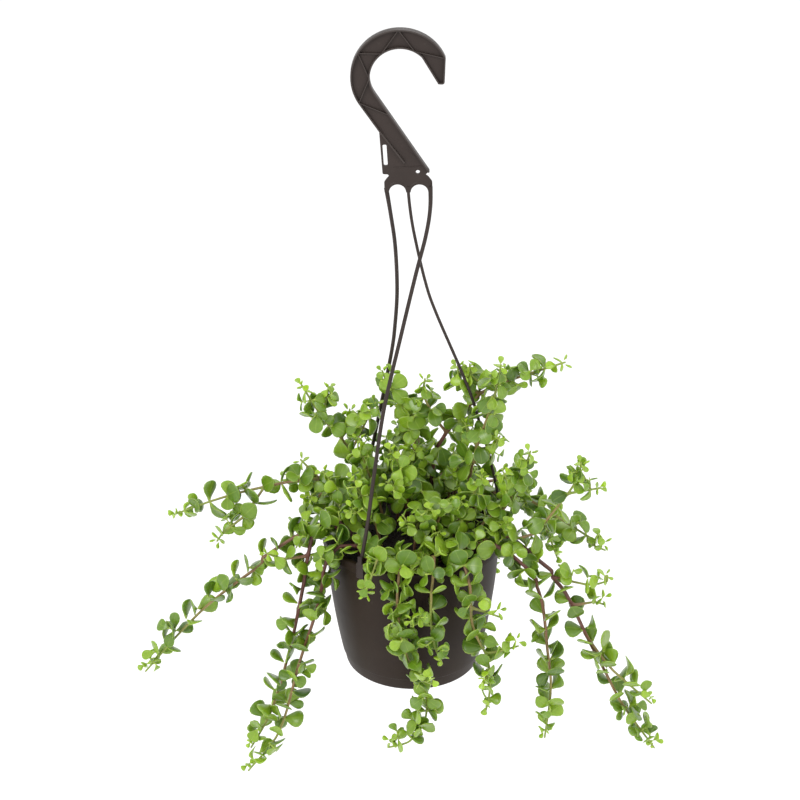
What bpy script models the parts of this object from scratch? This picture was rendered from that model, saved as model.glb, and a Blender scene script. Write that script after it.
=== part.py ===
"""Elephant bush (Portulacaria afra) growing in a hanging pot.

The plant's rooted shoots stand in the soil of a brown plastic pot.  The pot hangs from a one-piece
moulded hanger: a flanged hook, a plate and three strands, each with a clip round the pot's lip.

Metres, +Z up.  The origin is the hook's seat, the highest point of the hook's inner arc.
"""

import math
import random
from collections import namedtuple

import bmesh
import bpy
from mathutils import Quaternion, Vector
from mathutils.bvhtree import BVHTree

CLEARANCE = 0.0003
TINY = 1e-6

# Pot: a lathe-turned wall that narrows towards the base, with a turned-down lip.
HANG_DROP = 0.436
HANG_OFFSET = 0.011
LIP_RADIUS = 0.0785
LIP_OVERHANG = 0.0030
LIP_THICKNESS = 0.0014
LIP_SKIRT = 0.0085
POT_HEIGHT = 0.129
POT_BASE_RADIUS = 0.0592
POT_BASE_CHAMFER = 0.0015
POT_WALL = 0.0015
POT_FLOOR = 0.0020
POT_TAPER_POWER = 1.8
WALL_LEVELS = 5
TURN_STEPS = 40
DRAIN_HOLES = 4
DRAIN_HOLE_RADIUS = 0.004
DRAIN_CIRCLE_RADIUS = 0.034

# Soil
SOIL_DEPTH = 0.012

# Hook and plate: a flat moulding in the XZ plane with flanges along its edges and slanting ribs.
HOOK_RADIUS = 0.024
HOOK_BAND = 0.0153
HOOK_DEPTH = 0.0074
WEB_THICKNESS = 0.0020
FLANGE_THICKNESS = 0.0012
ARC_STEP = 13.0
HOOK_END_OUTER = 24.0
HOOK_END_INNER = 43.0
OUTER_RIB_ANGLES = (92.0, 149.0)
INNER_RIB_ANGLES = (62.0, 127.0, 182.0)
SHAFT_ANGLE = 213.0
HOOK_TIP_INNER = (0.0308, -0.0290)
HOOK_TIP_OUTER = (0.0351, -0.0290)
SHAFT_RIB_END = (-0.0081, -0.0555)
PLATE_LEFT_TOP = (-0.0168, -0.0690)
PLATE_RIB_END = (0.0032, -0.0965)
PLATE_RIGHT_TOP = (0.0190, -0.0970)
PLATE_RIGHT = (0.0238, -0.1035)
PLATE_LEFT = (-0.0141, -0.1050)
NOTCH_LEFT = (-0.0090, -0.1078)
NOTCH_RIGHT = (0.0207, -0.1068)
BAR_OVERHANG = 0.0012
PLATE_BOTTOM = -0.1150
SLOT_TOP = (-0.0125, -0.0808)
SLOT_BOTTOM = (-0.0114, -0.0988)
SLOT_WIDTH = 0.0032
HOLE_CENTRE = (0.0144, -0.1042)
HOLE_RADIUS = 0.0017
HOLE_SIDES = 12

# Strands and their clips
STRAND_WIDTH = 0.0031
STRAND_THICKNESS = 0.0026
STRAND_SIDES = 6
STRAND_RINGS = 20
STRAND_ROOT_DEPTH = 0.0040
CLIP_WIDTH = 0.0070
CLIP_THICKNESS = 0.0021
CLIP_RISE = 0.0040
CLIP_BARB_THICKNESS = 0.0018
CLIP_BARB_GAP = 0.0004
Strand = namedtuple("Strand", "top_x azimuth bow")
# bow: share of the way down, and how far the strand stands to +X of the straight line there.
STRANDS = (
    Strand(-0.0124, 123, ((0.10, 0.0067), (0.20, 0.0125), (0.33, 0.0166), (0.44, 0.0171),
                          (0.54, 0.0156), (0.76, 0.0082), (0.94, 0.0020))),
    Strand(0.0060, 4, ((0.07, -0.0041), (0.15, -0.0070), (0.28, -0.0089), (0.37, -0.0073),
                       (0.58, 0.0018), (0.70, 0.0034), (0.81, 0.0036))),
    Strand(0.0245, -124, ((0.07, 0.0041), (0.14, 0.0047), (0.24, 0.0022), (0.39, -0.0007),
                          (0.58, -0.0038), (0.75, -0.0022), (0.90, 0.0))),
)

# Plant.  A route point is (azimuth in degrees, reach, height above the rim).  A positive reach is
# metres beyond the rim's edge.  A negative one is a share of the way from the rim to the axis.
SEED = 8
REACH_GAP = 0.0010
STEM_TIP_RADIUS = 0.0006
STEM_SHRINK_POWER = 0.8
STEM_CORNER_SHARE = 0.9
STEM_BARE_LENGTH = 0.020
BRANCH_BARE_LENGTH = 0.014
TIP_BARE_LENGTH = 0.0036
NODE_HALF_HEIGHT = 0.0012
YOUNG_NODE_HALF_HEIGHT = 0.00072
ROUTE_SAMPLES = 14
LEAF_LENGTH = 0.0200
LEAF_WIDTH_SHARE = 0.88
LEAF_THICKNESS = 0.0015
LEAF_BELLY_SHARE = 0.60
LEAF_BELLY_DROP = 0.04
LEAF_TIP_LIFT = 0.05
LEAF_MARGIN = 0.0004
LEAF_ROOT_SHARE = 0.06
LEAF_TILT = 38.0
LEAF_ROLL = 22.0
LEAF_SWAY = 9.0
LEAF_SPREAD = (0.86, 1.10)
LEAF_SIZE_CHOICES = (1.0, 0.85, 0.70, 0.56)
LEAF_TILT_CHOICES = (0.0, 22.0, -22.0)
LEAF_TURN_CHOICES = (0.0, 24.0, -24.0, 46.0, -46.0)
YOUNG_SIZES = (0.45, 0.68, 0.88)
YOUNG_SPACINGS = (0.0060, 0.0100, 0.0135)
LEAF_SPACING = 0.0160
TWIG_RADIUS = 0.0010
TWIG_MARGIN = 0.0020
TWIG_LOWEST_RANK = 3
TWIG_LENGTHS = (0.020, 0.034)
TWIG_BARE_LENGTH = 0.006
# Shares of outward, along the stem and straight up in a twig's heading.
TWIG_HEADING = (0.9, 0.5, 0.45)
TWIG_BEND = 0.35
TWIG_RISE = 0.12
Branch = namedtuple("Branch", "share radius route")
Shoot = namedtuple("Shoot", "name radius twigs route branches")
SHOOTS = (
    Shoot("shoot_main", 0.0022, 2, ((60, -0.72), (53, -0.68, 0.017), (44, -0.64, 0.067), (23, -0.42, 0.103),
          (14, -0.20, 0.127), (6, 0.010, 0.142), (1, 0.049, 0.160)), (
        Branch(0.42, 0.0013, ((41, -0.70, 0.102), (56, -0.79, 0.123), (50, -0.80, 0.140))),
        Branch(0.62, 0.0012, ((19, -0.46, 0.130), (18, -0.50, 0.153))),
        Branch(0.74, 0.0011, ((12, -0.34, 0.140), (14, -0.38, 0.154))))),
    Shoot("shoot_centre", 0.0015, 2, ((120, -0.80), (100, -0.78, 0.040), (85, -0.72, 0.090),
          (128, -0.62, 0.123), (138, -0.55, 0.142)), ()),
    Shoot("shoot_centre_front", 0.0014, 2, ((-60, -0.80), (-45, -0.65, 0.029), (-94, -0.69, 0.061),
          (-128, -0.60, 0.091)), ()),
    Shoot("shoot_left_long", 0.0016, 1, ((-150, -0.35), (-157, -0.18, 0.014), (-164, 0.010, 0.014),
          (-166, 0.043, -0.004), (-170, 0.091, -0.044), (-173, 0.121, -0.079), (-175, 0.159, -0.129)), ()),
    Shoot("shoot_left_trailing", 0.0021, 0, ((-140, -0.30), (-150, -0.16, 0.022), (-157, 0.009, 0.022),
          (-156, 0.020, -0.010), (-157, 0.027, -0.047), (-160, 0.035, -0.094), (-164, 0.051, -0.160),
          (-168, 0.069, -0.204)), (
        Branch(0.30, 0.0011, ((-158, 0.040, -0.004), (-160, 0.055, 0.003))),)),
    Shoot("shoot_left_hanging", 0.0018, 0, ((-126, -0.28), (-136, -0.12, 0.012), (-143, 0.010, 0.004),
          (-148, 0.018, -0.045), (-154, 0.031, -0.103), (-161, 0.046, -0.179), (-166, 0.073, -0.225)), ()),
    Shoot("shoot_left_upper", 0.0016, 1, ((165, -0.50), (170, -0.22, 0.036), (175, 0.008, 0.045),
          (179, 0.053, 0.039), (181, 0.089, 0.031), (182, 0.127, 0.018)), (
        Branch(0.40, 0.0011, ((175, 0.018, 0.064),)),
        Branch(0.62, 0.0012, ((185, 0.068, 0.018), (186, 0.083, 0.008), (186, 0.091, -0.003))))),
    Shoot("shoot_left_tall", 0.0015, 1, ((135, -0.52), (140, -0.42, 0.022), (148, -0.28, 0.052),
          (157, -0.14, 0.076), (162, 0.002, 0.095), (167, 0.019, 0.130)), (
        Branch(0.50, 0.0011, ((152, -0.45, 0.098), (154, -0.56, 0.116))),)),
    Shoot("shoot_right_upper", 0.0016, 2, ((-20, -0.64), (-14, -0.40, 0.045), (-12, -0.33, 0.078),
          (-9, -0.14, 0.131), (-11, -0.06, 0.166)), (
        Branch(0.50, 0.0011, ((-10, -0.17, 0.080), (-14, -0.046, 0.101))),)),
    Shoot("shoot_right_standing", 0.0014, 1, ((-29, -0.38), (-23, -0.14, 0.024), (-18, 0.004, 0.036),
          (-18, 0.018, 0.071), (-17, 0.024, 0.093)), ()),
    Shoot("shoot_right_arching", 0.0014, 1, ((22, -0.42), (14, -0.20, 0.024), (9, 0.014, 0.025),
          (5, 0.046, 0.006), (2, 0.077, -0.013), (1, 0.090, -0.018)), ()),
    Shoot("shoot_right_rising", 0.0015, 1, ((-34, -0.22), (-27, -0.08, 0.012), (-22, 0.026, 0.014),
          (-19, 0.047, 0.041), (-17, 0.064, 0.070), (-17, 0.068, 0.089)), (
        Branch(0.78, 0.0010, ((-15, 0.085, 0.064),)),)),
    Shoot("shoot_right_long", 0.0021, 0, ((-10, -0.25), (-12, -0.10, 0.008), (-17, 0.010, 0.005),
          (-22, 0.036, -0.006), (-21, 0.059, -0.026), (-18, 0.080, -0.075), (-15, 0.096, -0.114),
          (-13, 0.112, -0.150), (-10, 0.141, -0.199)), (
        Branch(0.30, 0.0010, ((-20, 0.080, -0.018), (-20, 0.097, -0.011))),
        Branch(0.40, 0.0010, ((-15, 0.079, -0.043), (-13, 0.092, -0.048))),
        Branch(0.50, 0.0012, ((-18, 0.100, -0.100), (-16, 0.120, -0.122), (-15, 0.138, -0.139))))),
    Shoot("shoot_right_hanging", 0.0018, 0, ((-46, -0.30), (-36, -0.10, 0.010), (-30, 0.012, 0.004),
          (-28, 0.036, -0.014), (-27, 0.045, -0.035), (-26, 0.050, -0.080), (-24, 0.053, -0.124),
          (-23, 0.048, -0.180)), ()),
    Shoot("shoot_front_long", 0.0013, 1, ((-100, -0.45), (-97, -0.12, 0.014), (-98, 0.008, 0.003),
          (-98, 0.013, -0.027), (-93, 0.013, -0.067), (-83, 0.013, -0.106), (-84, 0.013, -0.134),
          (-92, 0.014, -0.153), (-103, 0.015, -0.160)), (
        Branch(0.70, 0.0009, ((-80, 0.017, -0.112), (-77, 0.021, -0.121))),)),
    Shoot("shoot_front_short", 0.0013, 2, ((-78, -0.42), (-76, -0.10, 0.014), (-79, 0.008, 0.003),
          (-81, 0.014, -0.022), (-79, 0.014, -0.054), (-75, 0.018, -0.073)), ()),
    Shoot("shoot_front_right", 0.0014, 2, ((-56, -0.45), (-59, -0.08, 0.012), (-61, 0.018, -0.004),
          (-60, 0.022, -0.040), (-54, 0.029, -0.072), (-52, 0.028, -0.105), (-53, 0.025, -0.130)), (
        Branch(0.42, 0.0010, ((-56, 0.033, -0.022), (-52, 0.040, -0.026))),)),
    Shoot("shoot_front_left", 0.0013, 3, ((-113, -0.35), (-112, -0.10, 0.018), (-110, 0.006, 0.018),
          (-111, 0.018, 0.006), (-113, 0.024, -0.010)), ()),
    Shoot("shoot_crown_left", 0.0014, 4, ((172, -0.72), (166, -0.60, 0.030), (172, -0.48, 0.060),
          (176, -0.42, 0.088)), ()),
    Shoot("shoot_crown_right", 0.0014, 4, ((-42, -0.52), (-38, -0.38, 0.025), (-33, -0.24, 0.050),
          (-30, -0.14, 0.072)), ()),
    Shoot("shoot_crown_front_left", 0.0014, 4, ((-135, -0.55), (-140, -0.45, 0.028), (-145, -0.33, 0.050),
          (-148, -0.25, 0.068)), ()),
    Shoot("shoot_crown_front", 0.0014, 4, ((-88, -0.66), (-84, -0.50, 0.028), (-78, -0.34, 0.046),
          (-75, -0.20, 0.054)), ()),
    Shoot("shoot_crown_front_right", 0.0014, 4, ((-62, -0.64), (-58, -0.48, 0.030), (-54, -0.32, 0.048),
          (-52, -0.16, 0.056)), ()),
    Shoot("shoot_crown_side_left", 0.0014, 3, ((-172, -0.44), (-172, -0.30, 0.026), (-174, -0.16, 0.046),
          (-176, -0.02, 0.060)), ()),
    Shoot("shoot_crown_back", 0.0015, 3, ((78, -0.48), (82, -0.32, 0.035), (86, -0.16, 0.060),
          (88, -0.02, 0.078)), ()),
    Shoot("shoot_crown_back_left", 0.0014, 4, ((112, -0.58), (112, -0.42, 0.026), (111, -0.28, 0.046),
          (110, -0.14, 0.058)), ()),
    Shoot("shoot_crown_back_right", 0.0014, 4, ((40, -0.58), (42, -0.42, 0.026), (45, -0.26, 0.046),
          (47, -0.12, 0.058)), ()),
    Shoot("shoot_crown_back_low", 0.0014, 4, ((96, -0.52), (95, -0.36, 0.016), (93, -0.20, 0.026),
          (92, -0.06, 0.030)), ()),
    Shoot("shoot_back_hanging", 0.0014, 2, ((57, -0.32), (54, -0.10, 0.013), (52, 0.012, 0.008),
          (50, 0.024, -0.018), (49, 0.030, -0.055), (48, 0.034, -0.090)), ()),
    Shoot("shoot_back_left", 0.0015, 1, ((108, -0.34), (104, -0.10, 0.014), (102, 0.012, 0.007),
          (100, 0.024, -0.020), (98, 0.034, -0.060), (96, 0.044, -0.095)), ()),
    Shoot("shoot_back_centre", 0.0016, 0, ((74, -0.28), (70, -0.08, 0.014), (68, 0.014, 0.011),
          (66, 0.034, -0.012), (64, 0.048, -0.050), (62, 0.060, -0.100)), ()),
    Shoot("shoot_back_right", 0.0015, 1, ((42, -0.34), (38, -0.10, 0.016), (36, 0.014, 0.018),
          (33, 0.040, 0.002), (31, 0.060, -0.032), (29, 0.074, -0.072)), ()),
    Shoot("shoot_back_low", 0.0014, 1, ((142, -0.30), (145, -0.08, 0.014), (148, 0.013, 0.009),
          (149, 0.028, -0.012), (150, 0.042, -0.050)), ()),
)

POT_AXIS = Vector((HANG_OFFSET, 0.0, 0.0))
RIM_HEIGHT = -HANG_DROP
SOIL_HEIGHT = RIM_HEIGHT - SOIL_DEPTH


# Shared helpers

def clear_scene():
    for obj in list(bpy.data.objects):
        bpy.data.objects.remove(obj)


def new_object(name, bm):
    """Turns a bmesh into a smooth-shaded object of the scene."""
    mesh = bpy.data.meshes.new(name)
    bm.to_mesh(mesh)
    bm.free()
    mesh.shade_smooth()
    mesh.set_sharp_from_angle(angle=math.radians(35.0))
    obj = bpy.data.objects.new(name, mesh)
    bpy.context.collection.objects.link(obj)
    return obj


def paint(obj, colour, roughness):
    material = bpy.data.materials.new(obj.name)
    material.use_nodes = True
    shader = material.node_tree.nodes["Principled BSDF"]
    shader.inputs["Base Color"].default_value = (*colour, 1.0)
    shader.inputs["Roughness"].default_value = roughness
    obj.data.materials.append(material)


def combine(obj, tool, operation):
    """Adds or cuts away a helper shape that isn't itself part of the build."""
    tool.hide_render = True
    tool.display_type = "WIRE"
    modifier = obj.modifiers.new(tool.name, "BOOLEAN")
    modifier.operation = operation
    modifier.object = tool


def turned(name, profile):
    """A solid of revolution about the pot's axis from (radius, z) points that start and end on it."""
    bm = bmesh.new()
    points = [bm.verts.new((radius, 0.0, z)) for radius, z in profile]
    edges = [bm.edges.new(pair) for pair in zip(points, points[1:])]
    bmesh.ops.spin(bm, geom=points + edges, cent=(0, 0, 0), axis=(0, 0, 1), dvec=(0, 0, 0),
                   angle=2 * math.pi, steps=TURN_STEPS, use_merge=True)
    bmesh.ops.remove_doubles(bm, verts=bm.verts, dist=TINY)
    bmesh.ops.recalc_face_normals(bm, faces=bm.faces)
    bmesh.ops.translate(bm, verts=bm.verts, vec=POT_AXIS)
    return new_object(name, bm)


def prism(name, outline, axis_a, axis_b, thickness_axis, thickness, origin):
    """A closed prism: outline points in the (axis_a, axis_b) plane, centred across its thickness."""
    bm = bmesh.new()
    start = origin - thickness_axis * thickness / 2
    face = bm.faces.new([bm.verts.new(start + axis_a * a + axis_b * b) for a, b in outline])
    grown = bmesh.ops.extrude_face_region(bm, geom=[face])
    moved = [item for item in grown["geom"] if isinstance(item, bmesh.types.BMVert)]
    bmesh.ops.translate(bm, verts=moved, vec=thickness_axis * thickness)
    bmesh.ops.recalc_face_normals(bm, faces=bm.faces)
    return new_object(name, bm)


def smooth_route(points):
    """Points close together on a smooth curve through the given ones (Catmull-Rom)."""
    if len(points) == 2:
        middle = (points[0] + points[1]) / 2
        points = [points[0], middle, points[1]]
    ends = [2 * points[0] - points[1], *points, 2 * points[-1] - points[-2]]
    found = [points[0]]
    for before, start, end, after in zip(ends, ends[1:], ends[2:], ends[3:]):
        for step in range(1, ROUTE_SAMPLES + 1):
            t = step / ROUTE_SAMPLES
            found.append(0.5 * (2 * start + (end - before) * t
                                + (2 * before - 5 * start + 4 * end - after) * t ** 2
                                + (3 * start - before - 3 * end + after) * t ** 3))
    return found


class Path:
    """A curve that is read by the distance along it."""

    def __init__(self, points):
        self.points = smooth_route(points)
        self.marks = [0.0]
        for start, end in zip(self.points, self.points[1:]):
            self.marks.append(self.marks[-1] + (end - start).length)
        self.length = self.marks[-1]

    def span(self, distance):
        last = len(self.points) - 2
        return min(sum(mark <= distance for mark in self.marks[1:]), last)

    def at(self, distance):
        index = self.span(distance)
        run = self.marks[index + 1] - self.marks[index]
        return self.points[index].lerp(self.points[index + 1], (distance - self.marks[index]) / run)

    def heading(self, distance):
        index = self.span(distance)
        before = self.points[max(index - 1, 0)]
        after = self.points[min(index + 2, len(self.points) - 1)]
        return (after - before).normalized()


# Pot and soil

def wall_radius(depth):
    """Outer radius of the pot's wall at a depth below the rim."""
    top = LIP_RADIUS - LIP_OVERHANG
    return top - (top - POT_BASE_RADIUS) * (depth / POT_HEIGHT) ** POT_TAPER_POWER


def levels(top, bottom, count):
    return [top + (bottom - top) * step / count for step in range(count + 1)]


def inner_wall():
    """(radius, depth) of the corners down the pot's faceted inside."""
    return [(wall_radius(depth) - POT_WALL, depth)
            for depth in levels(0.0, POT_HEIGHT - POT_FLOOR, WALL_LEVELS)]


def inner_radius(depth):
    """Radius of the pot's faceted inside at a depth below the rim."""
    corners = inner_wall()
    index = sum(level < depth for _, level in corners[1:-1])
    (upper, start), (lower, end) = corners[index:index + 2]
    return upper + (lower - upper) * (depth - start) / (end - start)


def build_pot():
    lip_inside = LIP_RADIUS - LIP_THICKNESS
    outside = [(wall_radius(depth), -depth)
               for depth in levels(LIP_THICKNESS, POT_HEIGHT - POT_BASE_CHAMFER, WALL_LEVELS)]
    inside = [(radius, -depth) for radius, depth in inner_wall()]
    lip = [(lip_inside, -LIP_THICKNESS), (lip_inside, -LIP_SKIRT), (LIP_RADIUS, -LIP_SKIRT),
           (LIP_RADIUS, 0.0)]
    base = [(0.0, -POT_HEIGHT), (POT_BASE_RADIUS - POT_BASE_CHAMFER, -POT_HEIGHT)]
    profile = base + outside[::-1] + lip + inside + [(0.0, -POT_HEIGHT + POT_FLOOR)]
    pot = turned("pot", [(radius, RIM_HEIGHT + z) for radius, z in profile])
    for index in range(DRAIN_HOLES):
        angle = 2 * math.pi * (index + 0.5) / DRAIN_HOLES
        bm = bmesh.new()
        bmesh.ops.create_cone(bm, cap_ends=True, segments=12, radius1=DRAIN_HOLE_RADIUS,
                              radius2=DRAIN_HOLE_RADIUS, depth=4 * POT_FLOOR)
        place = Vector((DRAIN_CIRCLE_RADIUS * math.cos(angle), DRAIN_CIRCLE_RADIUS * math.sin(angle),
                        RIM_HEIGHT - POT_HEIGHT + POT_FLOOR / 2))
        bmesh.ops.translate(bm, verts=bm.verts, vec=POT_AXIS + place)
        combine(pot, new_object(f"drain_hole_{index}", bm), "DIFFERENCE")
    paint(pot, (0.060, 0.032, 0.024), 0.35)
    return pot


def build_soil():
    deepest = POT_HEIGHT - POT_FLOOR - CLEARANCE
    depths = [deepest, *(depth for _, depth in inner_wall()[::-1] if SOIL_DEPTH < depth < deepest),
              SOIL_DEPTH]
    side = [(inner_radius(depth) - CLEARANCE, RIM_HEIGHT - depth) for depth in depths]
    soil = turned("soil", [(0.0, RIM_HEIGHT - deepest), *side, (0.0, SOIL_HEIGHT)])
    paint(soil, (0.030, 0.020, 0.014), 0.95)
    return soil


# Hanger

def hook_arc(radius, first, last):
    """Points on an arc about the hook's centre, in the plate's plane."""
    count = max(1, math.ceil(abs(last - first) / ARC_STEP))
    angles = [math.radians(angle) for angle in levels(first, last, count)]
    return [(radius * math.cos(angle), radius * math.sin(angle) - HOOK_RADIUS) for angle in angles]


def plate_pockets():
    """The thin panels between the hook's flanges and ribs, and the plate's panel below them."""
    def inner(first, last):
        return hook_arc(HOOK_RADIUS, first, last)

    def outer(first, last):
        return hook_arc(HOOK_RADIUS + HOOK_BAND, first, last)

    top, left = OUTER_RIB_ANGLES
    near_tip, near_top, near_left = INNER_RIB_ANGLES
    shaft_corner = outer(SHAFT_ANGLE, SHAFT_ANGLE)[:1]
    return [
        outer(HOOK_END_OUTER, HOOK_END_OUTER)[:1] + [HOOK_TIP_OUTER, HOOK_TIP_INNER]
        + inner(HOOK_END_INNER, near_tip),
        outer(HOOK_END_OUTER, top) + inner(near_tip, near_tip)[:1],
        outer(top, top)[:1] + inner(near_top, near_tip),
        outer(top, left) + inner(near_top, near_top)[:1],
        outer(left, left)[:1] + inner(near_left, near_top),
        outer(left, SHAFT_ANGLE) + inner(near_left, near_left)[:1],
        shaft_corner + [SHAFT_RIB_END] + inner(SHAFT_ANGLE, near_left),
        shaft_corner + [PLATE_LEFT_TOP, SHAFT_RIB_END],
        [PLATE_LEFT_TOP, PLATE_RIB_END, PLATE_RIGHT_TOP, SHAFT_RIB_END],
        [PLATE_LEFT_TOP, PLATE_LEFT, NOTCH_LEFT, NOTCH_RIGHT, PLATE_RIGHT, PLATE_RIGHT_TOP,
         PLATE_RIB_END],
    ]


def plate_bar():
    """The thick bar along the plate's bottom edge, which the strands leave."""
    left = STRANDS[0].top_x - BAR_OVERHANG
    right = STRANDS[-1].top_x + BAR_OVERHANG
    shoulder = (NOTCH_LEFT[1] + PLATE_BOTTOM) / 2
    return [NOTCH_LEFT, (left, shoulder), (left, PLATE_BOTTOM), (right, PLATE_BOTTOM),
            (right, shoulder), NOTCH_RIGHT]


def flat_moulding():
    """Hook and plate at their full depth, with the panels sunk from both faces to leave the web."""
    bm = bmesh.new()
    panels = plate_pockets()
    for outline in panels + [plate_bar()]:
        bm.faces.new([bm.verts.new((x, -HOOK_DEPTH / 2, z)) for x, z in outline])
    bmesh.ops.remove_doubles(bm, verts=bm.verts, dist=TINY)
    front = list(bm.faces)
    grown = bmesh.ops.extrude_face_region(bm, geom=front, use_keep_orig=True)
    moved = [item for item in grown["geom"] if isinstance(item, bmesh.types.BMVert)]
    bmesh.ops.translate(bm, verts=moved, vec=(0, HOOK_DEPTH, 0))
    bmesh.ops.recalc_face_normals(bm, faces=bm.faces)
    bar_top = (NOTCH_LEFT[1] + PLATE_BOTTOM) / 2
    sunk = [face for face in bm.faces
            if abs(face.normal.y) > 0.99 and face.calc_center_median().z > bar_top]
    bmesh.ops.inset_individual(bm, faces=sunk, thickness=FLANGE_THICKNESS, use_even_offset=True,
                               depth=(WEB_THICKNESS - HOOK_DEPTH) / 2)
    return new_object("hanger", bm)


def strand_route(strand):
    """From inside the plate's bar down to the clip outside the lip."""
    top = Vector((strand.top_x, 0.0, PLATE_BOTTOM + STRAND_ROOT_DEPTH))
    around = Vector((math.cos(math.radians(strand.azimuth)), math.sin(math.radians(strand.azimuth)), 0))
    reach = LIP_RADIUS + CLEARANCE + CLIP_THICKNESS / 2
    end = POT_AXIS + around * reach + Vector((0, 0, RIM_HEIGHT + CLIP_RISE / 2))
    bowed = [top.lerp(end, share) + Vector((shift, 0.0, 0.0)) for share, shift in strand.bow]
    return Path([top, *bowed, end]), around


def build_strand(index, strand):
    path, around = strand_route(strand)
    bm = bmesh.new()
    rings = []
    for distance in levels(0.0, path.length, STRAND_RINGS):
        heading = path.heading(distance)
        side = heading.cross(around).normalized()
        front = side.cross(heading)
        ring = []
        for corner in range(STRAND_SIDES):
            angle = 2 * math.pi * (corner + 0.5) / STRAND_SIDES
            ring.append(bm.verts.new(path.at(distance) + side * (STRAND_WIDTH / 2 * math.cos(angle))
                                     + front * (STRAND_THICKNESS / 2 * math.sin(angle))))
        rings.append(ring)
    for lower, upper in zip(rings, rings[1:]):
        for corner in range(STRAND_SIDES):
            after = (corner + 1) % STRAND_SIDES
            bm.faces.new((lower[corner], lower[after], upper[after], upper[corner]))
    bm.faces.new(rings[0])
    bm.faces.new(rings[-1])
    bmesh.ops.recalc_face_normals(bm, faces=bm.faces)
    return new_object(f"strand_{index}", bm)


def build_clip(index, strand):
    """A hook-shaped end that stands outside the lip and turns in under its skirt."""
    around = strand_route(strand)[1]
    inner = LIP_RADIUS + CLEARANCE
    outer = inner + CLIP_THICKNESS
    barb_top = -LIP_SKIRT - CLEARANCE
    barb_bottom = barb_top - CLIP_BARB_THICKNESS
    barb_end = wall_radius(-barb_bottom) + CLIP_BARB_GAP
    outline = [(inner, CLIP_RISE), (outer, CLIP_RISE), (outer, barb_bottom), (barb_end, barb_bottom),
               (barb_end, barb_top), (inner, barb_top)]
    rim = POT_AXIS + Vector((0, 0, RIM_HEIGHT))
    along = Vector((0, 0, 1)).cross(around)
    return prism(f"clip_{index}", outline, around, Vector((0, 0, 1)), along, CLIP_WIDTH, rim)


def build_hanger():
    hanger = flat_moulding()
    slot = [(x + half * SLOT_WIDTH / 2, z)
            for (x, z), half in ((SLOT_BOTTOM, -1), (SLOT_BOTTOM, 1), (SLOT_TOP, 1), (SLOT_TOP, -1))]
    turns = [2 * math.pi * side / HOLE_SIDES for side in range(HOLE_SIDES)]
    hole = [(HOLE_CENTRE[0] + HOLE_RADIUS * math.cos(turn), HOLE_CENTRE[1] + HOLE_RADIUS * math.sin(turn))
            for turn in turns]
    for name, outline in (("slot", slot), ("hole", hole)):
        cutter = prism(name, outline, Vector((1, 0, 0)), Vector((0, 0, 1)), Vector((0, 1, 0)),
                       2 * HOOK_DEPTH, Vector())
        combine(hanger, cutter, "DIFFERENCE")
    for index, strand in enumerate(STRANDS):
        combine(hanger, build_strand(index, strand), "UNION")
        combine(hanger, build_clip(index, strand), "UNION")
    paint(hanger, (0.050, 0.028, 0.022), 0.40)
    return hanger


# Plant

def place_of(point):
    """The world position of a route point (azimuth, reach, height above the rim)."""
    azimuth, reach = point[:2]
    edge = LIP_RADIUS + REACH_GAP
    radius = edge + reach if reach > 0 else edge * (1 + reach)
    height = RIM_HEIGHT + point[2] if len(point) > 2 else SOIL_HEIGHT + CLEARANCE
    angle = math.radians(azimuth)
    return POT_AXIS + Vector((radius * math.cos(angle), radius * math.sin(angle), height))


class Leaf:
    """A flat, fleshy, rounded leaf: it widens from its base on the stem and ends in a point."""

    faces = ((0, 1, 5, 4), (1, 2, 6, 5), (2, 3, 7, 6), (3, 0, 4, 7),
             (4, 5, 8), (5, 6, 8), (6, 7, 8), (7, 4, 8), (3, 2, 1, 0))

    def __init__(self, base, across, outward, upward, size):
        self.base = base
        centre = sum(base, Vector()) / 4
        length = LEAF_LENGTH * size
        half_width = length * LEAF_WIDTH_SHARE / 2
        half_depth = LEAF_THICKNESS * (0.5 + 0.5 * size) / 2
        belly = centre + outward * (length * LEAF_BELLY_SHARE) - upward * (length * LEAF_BELLY_DROP)
        self.belly = [belly + across * (a * half_width) + upward * (b * half_depth)
                      for a, b in ((-1, -1), (1, -1), (1, 1), (-1, 1))]
        self.tip = centre + outward * length + upward * (length * LEAF_TIP_LIFT)
        self.directions = (across, outward, upward)

    def envelope(self, margin):
        """The leaf without its root, grown by a margin on every side."""
        across, outward, upward = self.directions
        root = [start.lerp(end, LEAF_ROOT_SHARE) for start, end in zip(self.base, self.belly)]
        corners = ((-1, -1), (1, -1), (1, 1), (-1, 1))
        grown = [point + across * (a * margin) + upward * (b * margin)
                 for ring in (root, self.belly) for point, (a, b) in zip(ring, corners)]
        return [*grown, self.tip + outward * margin]


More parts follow.
